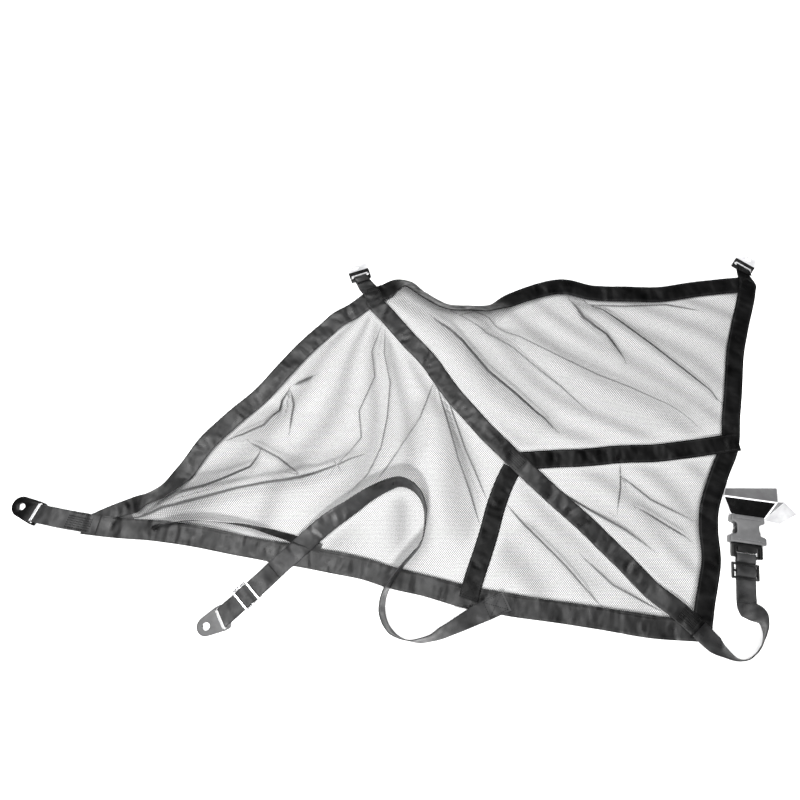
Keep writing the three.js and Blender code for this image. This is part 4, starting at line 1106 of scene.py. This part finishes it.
def wear_and_grain():
    """Wear along edges, and a fine grain, for painted and bare metal and moulded plastic."""
    group, given, out = new_group("wear and grain", {"Edge": 0.0, "Vector": None, "Grain": 900.0},
                                  ("Wear", "Height"))
    scuff = new_node(group, "TexNoise", Vector=given["Vector"], Scale=420.0, Detail=4.0).outputs["Fac"]
    grain = new_node(group, "TexNoise", Vector=given["Vector"], Scale=given["Grain"], Detail=2.0)
    scuffed = maths(group, "SUBTRACT", maths(group, "ADD", given["Edge"], scuff), WEAR_FROM)
    feed(group, out["Wear"], maths(group, "MULTIPLY", scuffed, 5.0, clamp=True))
    feed(group, out["Height"], grain.outputs["Fac"])
    return group


wear_group = wear_and_grain()


def hard_finish(name, body, worn, roughness, metallic=0.0, grain=900.0, strength=0.15, specular=0.5):
    """A finish whose colour, roughness and bump change over the piece."""
    material, tree, shader = finish(name, body, roughness, metallic, specular)
    place = tree.nodes.new("ShaderNodeTexCoord").outputs["Object"]
    wear = placed(tree, wear_group, Vector=place, Edge=on_piece(tree, "edge"), Grain=grain)
    patches_on = mixed(tree, cloudy(tree, 90.0), body * 0.85, body * 1.15)
    feed(tree, shader.inputs["Base Color"], mixed(tree, wear["Wear"], patches_on, worn))
    feed(tree, shader.inputs["Roughness"], cloudy(tree, 130.0, roughness - 0.07, roughness + 0.09))
    bump(tree, shader, wear["Height"], strength, 0.0002)
    return material


black_paint = hard_finish("black painted steel", 0.002, 0.1, 0.22, strength=0.06, specular=0.12)
dull_steel = hard_finish("dull zinc steel", 0.045, 0.2, 0.5, metallic=0.2, grain=1500.0, strength=0.08)
# A near-white zinc whose paleness is a painted highlight: on the slots' far lips, the top tabs' flanges and
# the bracket's bends and edges
highlight_zinc = hard_finish("zinc with painted highlight", 0.74, 0.85, 0.5, metallic=0.25, grain=1500.0, strength=0.08)
TAB_BACK, TAB_HALF, TAB_CORNER = 7.5, 16, 2
SLOT_HALF, LIP_HALF = 14.0, 9.0


def strap_slot(low, high):
    """The slot's cutter: 5 by 28 mm with rounded ends."""
    hole = block((-SLOT_EDGE, -SLOT_HALF, low), (SLOT_EDGE, SLOT_HALF, high))
    return applied(hole, "BEVEL", width=1.4 * MM, segments=4, limit_method="ANGLE", affect="EDGES")


def lip_painted_highlight(plate):
    """The middle of the slot's far lip takes the piece's last material, a near-white zinc painted on as a
    highlight.
    """
    for face in plate.data.polygons:
        if abs(face.center.x - SLOT_EDGE * MM) < 0.6 * MM and abs(face.center.y) < LIP_HALF * MM:
            face.material_index = len(plate.data.materials) - 1


def flat_tab(name, end, bolt_x, end_radius, bolt_radius, material):
    """A punched plate: square round its slot, with its end rounded about the bolt hole."""
    side = TAB_HALF - TAB_CORNER
    plate = block((-TAB_BACK, -side, TAB_LOW), (SLOT_EDGE + 1, side, TAB_HIGH))
    corners = [rod(px, py, TAB_LOW, TAB_HIGH, TAB_CORNER, 24)
               for px in (TAB_CORNER - TAB_BACK, SLOT_EDGE - 1) for py in (side, -side)]
    wrapped(plate, *corners, rod(bolt_x, 0, TAB_LOW, TAB_HIGH, end_radius, 64))
    cut(plate, rod(bolt_x, 0, TAB_LOW - 1, TAB_HIGH + 1, bolt_radius), strap_slot(TAB_LOW - 1, TAB_HIGH + 1))
    ease(plate, 0.55, 3)
    plate.data.materials.append(material)
    plate.data.materials.append(highlight_zinc)
    lip_painted_highlight(plate)
    set_down(plate, name, ends[end][1], ends[end][3])
    return plate


left_tab = flat_tab("Painted-left-tab", "left", 22, 13.7, 4.5, black_paint)
lower_tab = flat_tab("Steel-lower-tab", "lower", 20.5, 12, 5, dull_steel)
on_net_body(left_tab, "Left-tab")
on_net_body(lower_tab, "Lower-tab")

# The two top tabs: the same steel, bent up past the slot, so that a bolt can go through the flange.
# Their legs are painted black, and their flanges are bare zinc made near white as a painted highlight.
BEND_AT, PLATE, BARE_AND_LIT_ABOVE = 10.0, 2.5, 5.2
FLANGE_HEIGHT, FLANGE_LEAN, FLANGE_BOLT, FLANGE_HALF, FLANGE_CORNER = 25.0, 8.0, 13.0, 15.5, 7.0
BOLT_RADIUS = 4.5


def bent_tab(name, end, aside):
    """A slotted leg, and a flange that stands up from it on a rounded bend."""
    top_half = FLANGE_HALF - FLANGE_CORNER
    flange = wrapped(block((0, -FLANGE_HALF, 0), (PLATE, FLANGE_HALF, FLANGE_HEIGHT - FLANGE_CORNER)),
                     block((0, -top_half, 0), (PLATE, top_half, FLANGE_HEIGHT)))
    bolt = rod(0, 0, -4, 4, BOLT_RADIUS)
    bolt.rotation_euler = (0, math.radians(90), 0)
    bolt.location = (PLATE / 2 * MM, aside * MM, FLANGE_BOLT * MM)
    cut(flange, settle(bolt))
    flange.rotation_euler = (0, -math.radians(FLANGE_LEAN), 0)
    flange.location = ((BEND_AT - 1.0) * MM, 0, (TAB_LOW + 0.1) * MM)
    settle(flange)
    leg = block((-TAB_BACK, -FLANGE_HALF, TAB_LOW), (BEND_AT, FLANGE_HALF, TAB_HIGH))
    cut(leg, strap_slot(TAB_LOW - 1, TAB_HIGH + 1))
    weld(leg, flange)
    ease(leg, 0.5, 3)
    leg.data.materials.append(black_paint)
    leg.data.materials.append(highlight_zinc)
    # Faces above this height take the zinc with the painted highlight
    for face in leg.data.polygons:
        face.material_index = int(face.center.z > BARE_AND_LIT_ABOVE * MM)
    lip_painted_highlight(leg)
    set_down(leg, name, ends[end][1], ends[end][3])
    return leg


top_left_tab = bent_tab("Bent-left-tab", "top left", 4.0)
top_right_tab = bent_tab("Bent-right-tab", "top right", 0.0)
on_net_body(top_left_tab, "Top-left-tab")
on_net_body(top_right_tab, "Top-right-tab")

# The two slides that shorten the straps: three bars between two sides, the middle bar lower than the
# others. The lower slide is bright steel with well rounded bars, and the right one is moulded in black
# plastic.
SLIDE_SIDE, SLIDE_INNER = 2.6, 30.0


def slide_frame(name, end, s, length, aside, material, rounding):
    """A slide built up of its two sides and three bars."""
    half, inner, wide = length / 2, SLIDE_INNER / 2, SLIDE_INNER / 2 + SLIDE_SIDE
    slide = ease(block((-half, inner, MIDDLE_LOW), (half, wide, OUTER_HIGH)), rounding, 4)
    bars = [ease(block((-half, -wide, MIDDLE_LOW), (half, -inner, OUTER_HIGH)), rounding, 4)]
    for low, high, bottom, top in ((-half + 0.1, -half + SLIDE_BAR, OUTER_LOW, OUTER_HIGH - 0.1),
                                   (half - SLIDE_BAR, half - 0.1, OUTER_LOW, OUTER_HIGH - 0.1),
                                   (-SLIDE_BAR / 2, SLIDE_BAR / 2, MIDDLE_LOW + 0.1, MIDDLE_HIGH)):
        bars.append(ease(block((low, -inner - 1.2, bottom), (high, inner + 1.2, top)), 0.6, 3))
    weld(slide, *bars)
    set_down(slide, name, on_strap(end, s, aside), run_heading(end))
    slide.data.materials.append(material)
    return slide


bright_steel = hard_finish("bright steel", 0.8, 0.9, 0.24, metallic=0.9, grain=1800.0, strength=0.06)
black_plastic = hard_finish("black plastic", 0.003, 0.015, 0.38, grain=1300.0, strength=0.08, specular=0.25)
lower_slide = slide_frame("Steel-slide", "lower", LOWER_SLIDE_AT, LOWER_SLIDE_LENGTH, 0.0, bright_steel, 1.1)
right_slide = slide_frame("Plastic-slide", "right", RIGHT_SLIDE_AT, RIGHT_SLIDE_LENGTH, 1.5, black_plastic,
                          0.8)
on_net_body(lower_slide, "Lower-slide")
on_net_body(right_slide, "Right-slide")

# The buckle: a side-release pair in moulded plastic. The black half holds the strap on its bar and pushes
# two springy prongs into the grey half, whose waist leaves their heads bare for the fingers.
BUCKLE_START, BUCKLE_LENGTH, BUCKLE_HALF, BUCKLE_WAIST = 11.0, 37.0, 23.5, 14.5
BUCKLE_HIGH, BUCKLE_WALL, BORE_HALF, GROOVE_HALF, GROOVE_WIDTH = 13.0, 2.2, 18.2, 19.5, 0.9
INSERT_HALF, INSERT_POST, INSERT_BAR, INSERT_WINDOW, INSERT_HIGH = 20.0, 4.5, 3.5, 6.7, 9.0
FLOOR_HALF, FLOOR_HIGH, TONGUE_HALF, TONGUE_HIGH, TONGUE_LENGTH = 12.3, 8.2, 6.5, 8.4, 24
BAR_BACK = 3.6
PRONG_OUTER, PRONG_WIDTH, PRONG_LENGTH, PRONG_HEAD, PRONG_LOW = 17.4, 4.2, 21.0, 6.0, 3.6
FRONT_WALL = INSERT_WINDOW + 4
buckle_at = on_strap("right", right_end + 3.6)
buckle_heading = run_heading("right")


def outlined(points, low, high):
    """A plate raised from an outline, in millimetres: its face is filled and then extruded."""
    bpy.ops.mesh.primitive_circle_add(vertices=len(points), radius=MM, fill_type="NGON")
    plate = bpy.context.object
    for vertex, (px, py) in zip(plate.data.vertices, points):
        vertex.co = (px * MM, py * MM, low * MM)
    bpy.ops.object.mode_set(mode="EDIT")
    bpy.ops.mesh.select_all(action="SELECT")
    bpy.ops.mesh.extrude_region_move(TRANSFORM_OT_translate={"value": (0, 0, (high - low) * MM)})
    bpy.ops.mesh.select_all(action="SELECT")
    bpy.ops.mesh.normals_make_consistent(inside=False)
    bpy.ops.object.mode_set(mode="OBJECT")
    return plate


def mirrored(points):
    """An outline's upper half, from left to right, with its mirror image below."""
    return points + [(px, -py) for px, py in reversed(points)]


housing_side = [
    (0, BUCKLE_HALF), (9, BUCKLE_HALF), (10.2, 21.5), (11.2, 17.0), (12.6, 14.9), (15, BUCKLE_WAIST),
    (23, BUCKLE_WAIST), (25.4, 14.9), (26.8, 17.0), (27.8, 20.5), (29, 22.0), (BUCKLE_LENGTH, 21.0)]
housing_outline = mirrored([(BUCKLE_START + px, py) for px, py in housing_side])
housing = outlined(housing_outline[::-1], 0, BUCKLE_HIGH)
ease(housing, 1.3, 3, 25)
cut(housing, block((BUCKLE_START - 1, -BORE_HALF, BUCKLE_WALL),
                   (BUCKLE_START + 28, BORE_HALF, BUCKLE_HIGH - BUCKLE_WALL)))
for offset in (3.4, 31.5):
    groove_at = BUCKLE_START + offset
    cut(housing, block((groove_at, -GROOVE_HALF, BUCKLE_HIGH - 0.5),
                       (groove_at + GROOVE_WIDTH, GROOVE_HALF, BUCKLE_HIGH + 1)))
ease(housing, 0.25, 1, 50)
set_down(housing, "Grey-buckle-half", buckle_at, buckle_heading)
grey_plastic = hard_finish("grey plastic", 0.075, 0.15, 0.45, grain=1300.0, strength=0.08)
housing.data.materials.append(grey_plastic)
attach(housing, "receiver")
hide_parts("Buckle-housing")

insert = block((-BAR_BACK - INSERT_BAR, -INSERT_HALF, TAB_LOW), (FRONT_WALL, INSERT_HALF, INSERT_HIGH))
ease(insert, 1.2, 3)
inner = INSERT_HALF - INSERT_POST
cut(insert, block((-BAR_BACK, -inner, 0), (INSERT_WINDOW, inner, 12)),
    block((-BAR_BACK - INSERT_BAR - 1, -inner, TAB_HIGH), (1, inner, 12)))
tongue = block((FRONT_WALL - 1, -TONGUE_HALF, PRONG_LOW + 0.6),
               (FRONT_WALL + TONGUE_LENGTH, TONGUE_HALF, TONGUE_HIGH))
ease(tongue, 0.8, 2)
# The middle of its window is closed, and the strap's turn is seen against it
weld(insert, tongue, block((0.2, -FLOOR_HALF, TAB_LOW), (INSERT_WINDOW + 1, FLOOR_HALF, FLOOR_HIGH)))
ease(insert, 0.3, 2, 50)
set_down(insert, "Black-buckle-half", buckle_at, buckle_heading)
insert.data.materials.append(black_plastic)
on_net_body(insert, "Buckle-insert")

root, tip, prong_inner = FRONT_WALL + 0.3, FRONT_WALL + 0.3 + PRONG_LENGTH, PRONG_OUTER - PRONG_WIDTH
prong_outline = [
    (root, prong_inner), (tip - 7, prong_inner - 1.2), (tip, prong_inner - 2), (tip + 1.2, prong_inner - 0.8),
    (tip + 1.2, prong_inner + 0.6), (tip - 2.2, PRONG_OUTER - 1.4), (tip - PRONG_HEAD, PRONG_OUTER),
    (root + 8, PRONG_OUTER - 0.4), (root, PRONG_OUTER - 0.8)]
for name, node, side in (("Prong-left", "Buckle-prong-left", 1), ("Prong-right", "Buckle-prong-right", -1)):
    prong = outlined([(px, py * side) for px, py in prong_outline], PRONG_LOW, INSERT_HIGH)
    ease(prong, 0.5, 2, 25)
    set_down(prong, name, buckle_at, buckle_heading)
    prong.data.materials.append(black_plastic)
    on_net_body(prong, node)

# The bracket that the grey half is fixed to: sheet steel, bent along three lines and 2.8 mm thick from top
# to bottom. The top of its main face is painted black; the rest is bare zinc in tones painted for the light:
# darker on the back leg and the corner as painted shade, lighter on the wing, and palest at the bends and
# sheared edges as a painted highlight.
BRACKET_DROP = 2.8


def in_plane(px, py, a, b, c):
    """A corner at x and y in the plane of three others."""
    nx, ny, nz = np.cross(np.subtract(b, a), np.subtract(c, a))
    return (px, py, a[2] - (nx * (px - a[0]) + ny * (py - a[1])) / nz)


front_left, front_right = (436, -107.1, 11), (482, -113.5, 11)
bend_right, back_right = (494.5, -95.3, 22), (509, -71.5, BRACKET_DROP)
wing_top, wing_front = (508, -93, 14.7), (503, -121, BRACKET_DROP)
bend_left = in_plane(425.5, -85.7, front_left, front_right, bend_right)
back_left = in_plane(434, -73.5, bend_left, bend_right, back_right)
wing_back = in_plane(528.5, -107.5, wing_top, front_right, wing_front)
rim = [front_left, front_right, wing_front, wing_back, wing_top, bend_right, back_right, back_left, bend_left]
# Corners by their place in the rim: the bends, and the four faces between them
bend_lines = ((5, 8), (1, 5), (1, 4))
MAIN_FACE, BACK_FACE, LINK_FACE, WING_FACE = (0, 1, 5, 8), (5, 6, 7, 8), (1, 4, 5), (1, 2, 3, 4)
BEND_ROUND, SAME_WAY = 1.3, 0.999
bpy.ops.object.select_all(action="DESELECT")
bpy.ops.mesh.primitive_circle_add(vertices=len(rim), radius=MM, fill_type="NGON")
bracket = bpy.context.object
bracket.name = "Sheet-bracket"
for vertex, corner_place in zip(bracket.data.vertices, to_metres(rim)):
    vertex.co = corner_place
bpy.ops.object.mode_set(mode="EDIT")
bpy.ops.mesh.select_mode(type="VERT")
for line in bend_lines:
    bpy.ops.mesh.select_all(action="DESELECT")
    bpy.ops.object.mode_set(mode="OBJECT")
    for vertex in bracket.data.vertices:
        vertex.select = vertex.index in line
    bpy.ops.object.mode_set(mode="EDIT")
    bpy.ops.mesh.vert_connect()
bpy.ops.object.mode_set(mode="OBJECT")
face_normals = {tuple(sorted(face.vertices)): face.normal.copy() for face in bracket.data.polygons}
bpy.ops.object.mode_set(mode="EDIT")
bpy.ops.mesh.select_all(action="DESELECT")
bpy.ops.mesh.select_mode(type="EDGE")
bpy.ops.object.mode_set(mode="OBJECT")
for edge in bracket.data.edges:
    edge.select = tuple(sorted(edge.vertices)) in bend_lines
bpy.ops.object.mode_set(mode="EDIT")
bpy.ops.mesh.bevel(offset=BEND_ROUND * MM, segments=4)
bpy.ops.mesh.select_all(action="SELECT")
bpy.ops.mesh.extrude_region_move(TRANSFORM_OT_translate={"value": (0, 0, -BRACKET_DROP * MM)})
bpy.ops.mesh.select_all(action="SELECT")
bpy.ops.mesh.normals_make_consistent(inside=False)
bpy.ops.object.mode_set(mode="OBJECT")
ease(bracket, 0.4, 3, 35)
only(bracket)
bpy.ops.object.shade_smooth_by_angle(angle=math.radians(35))
mark_edges(bracket)
hazy_zinc_in_light = hard_finish("hazy zinc, painted light", 0.34, 0.4, 0.5, metallic=0.2, grain=1500.0, strength=0.05)
satin_zinc_in_shade = hard_finish("satin zinc, painted shade", 0.12, 0.2, 0.5, metallic=0.3, grain=1500.0, strength=0.05)
for finished in (highlight_zinc, black_paint, satin_zinc_in_shade, hazy_zinc_in_light):
    bracket.data.materials.append(finished)
# The main face's top takes the black paint; the back leg and corner take a darker zinc as painted shade, the
# wing a lighter one as painted light, and the rest, bends and edges too, the near-white zinc as a painted
# highlight
for face in bracket.data.polygons:
    main, back, link, wing = (abs(face.normal.dot(face_normals[key])) > SAME_WAY
                              for key in (MAIN_FACE, BACK_FACE, LINK_FACE, WING_FACE))
    if main and face.normal.z > 0:
        face.material_index = 1
    elif back or link:
        face.material_index = 2
    elif wing:
        face.material_index = 3
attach(bracket, "receiver")
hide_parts("Bracket")
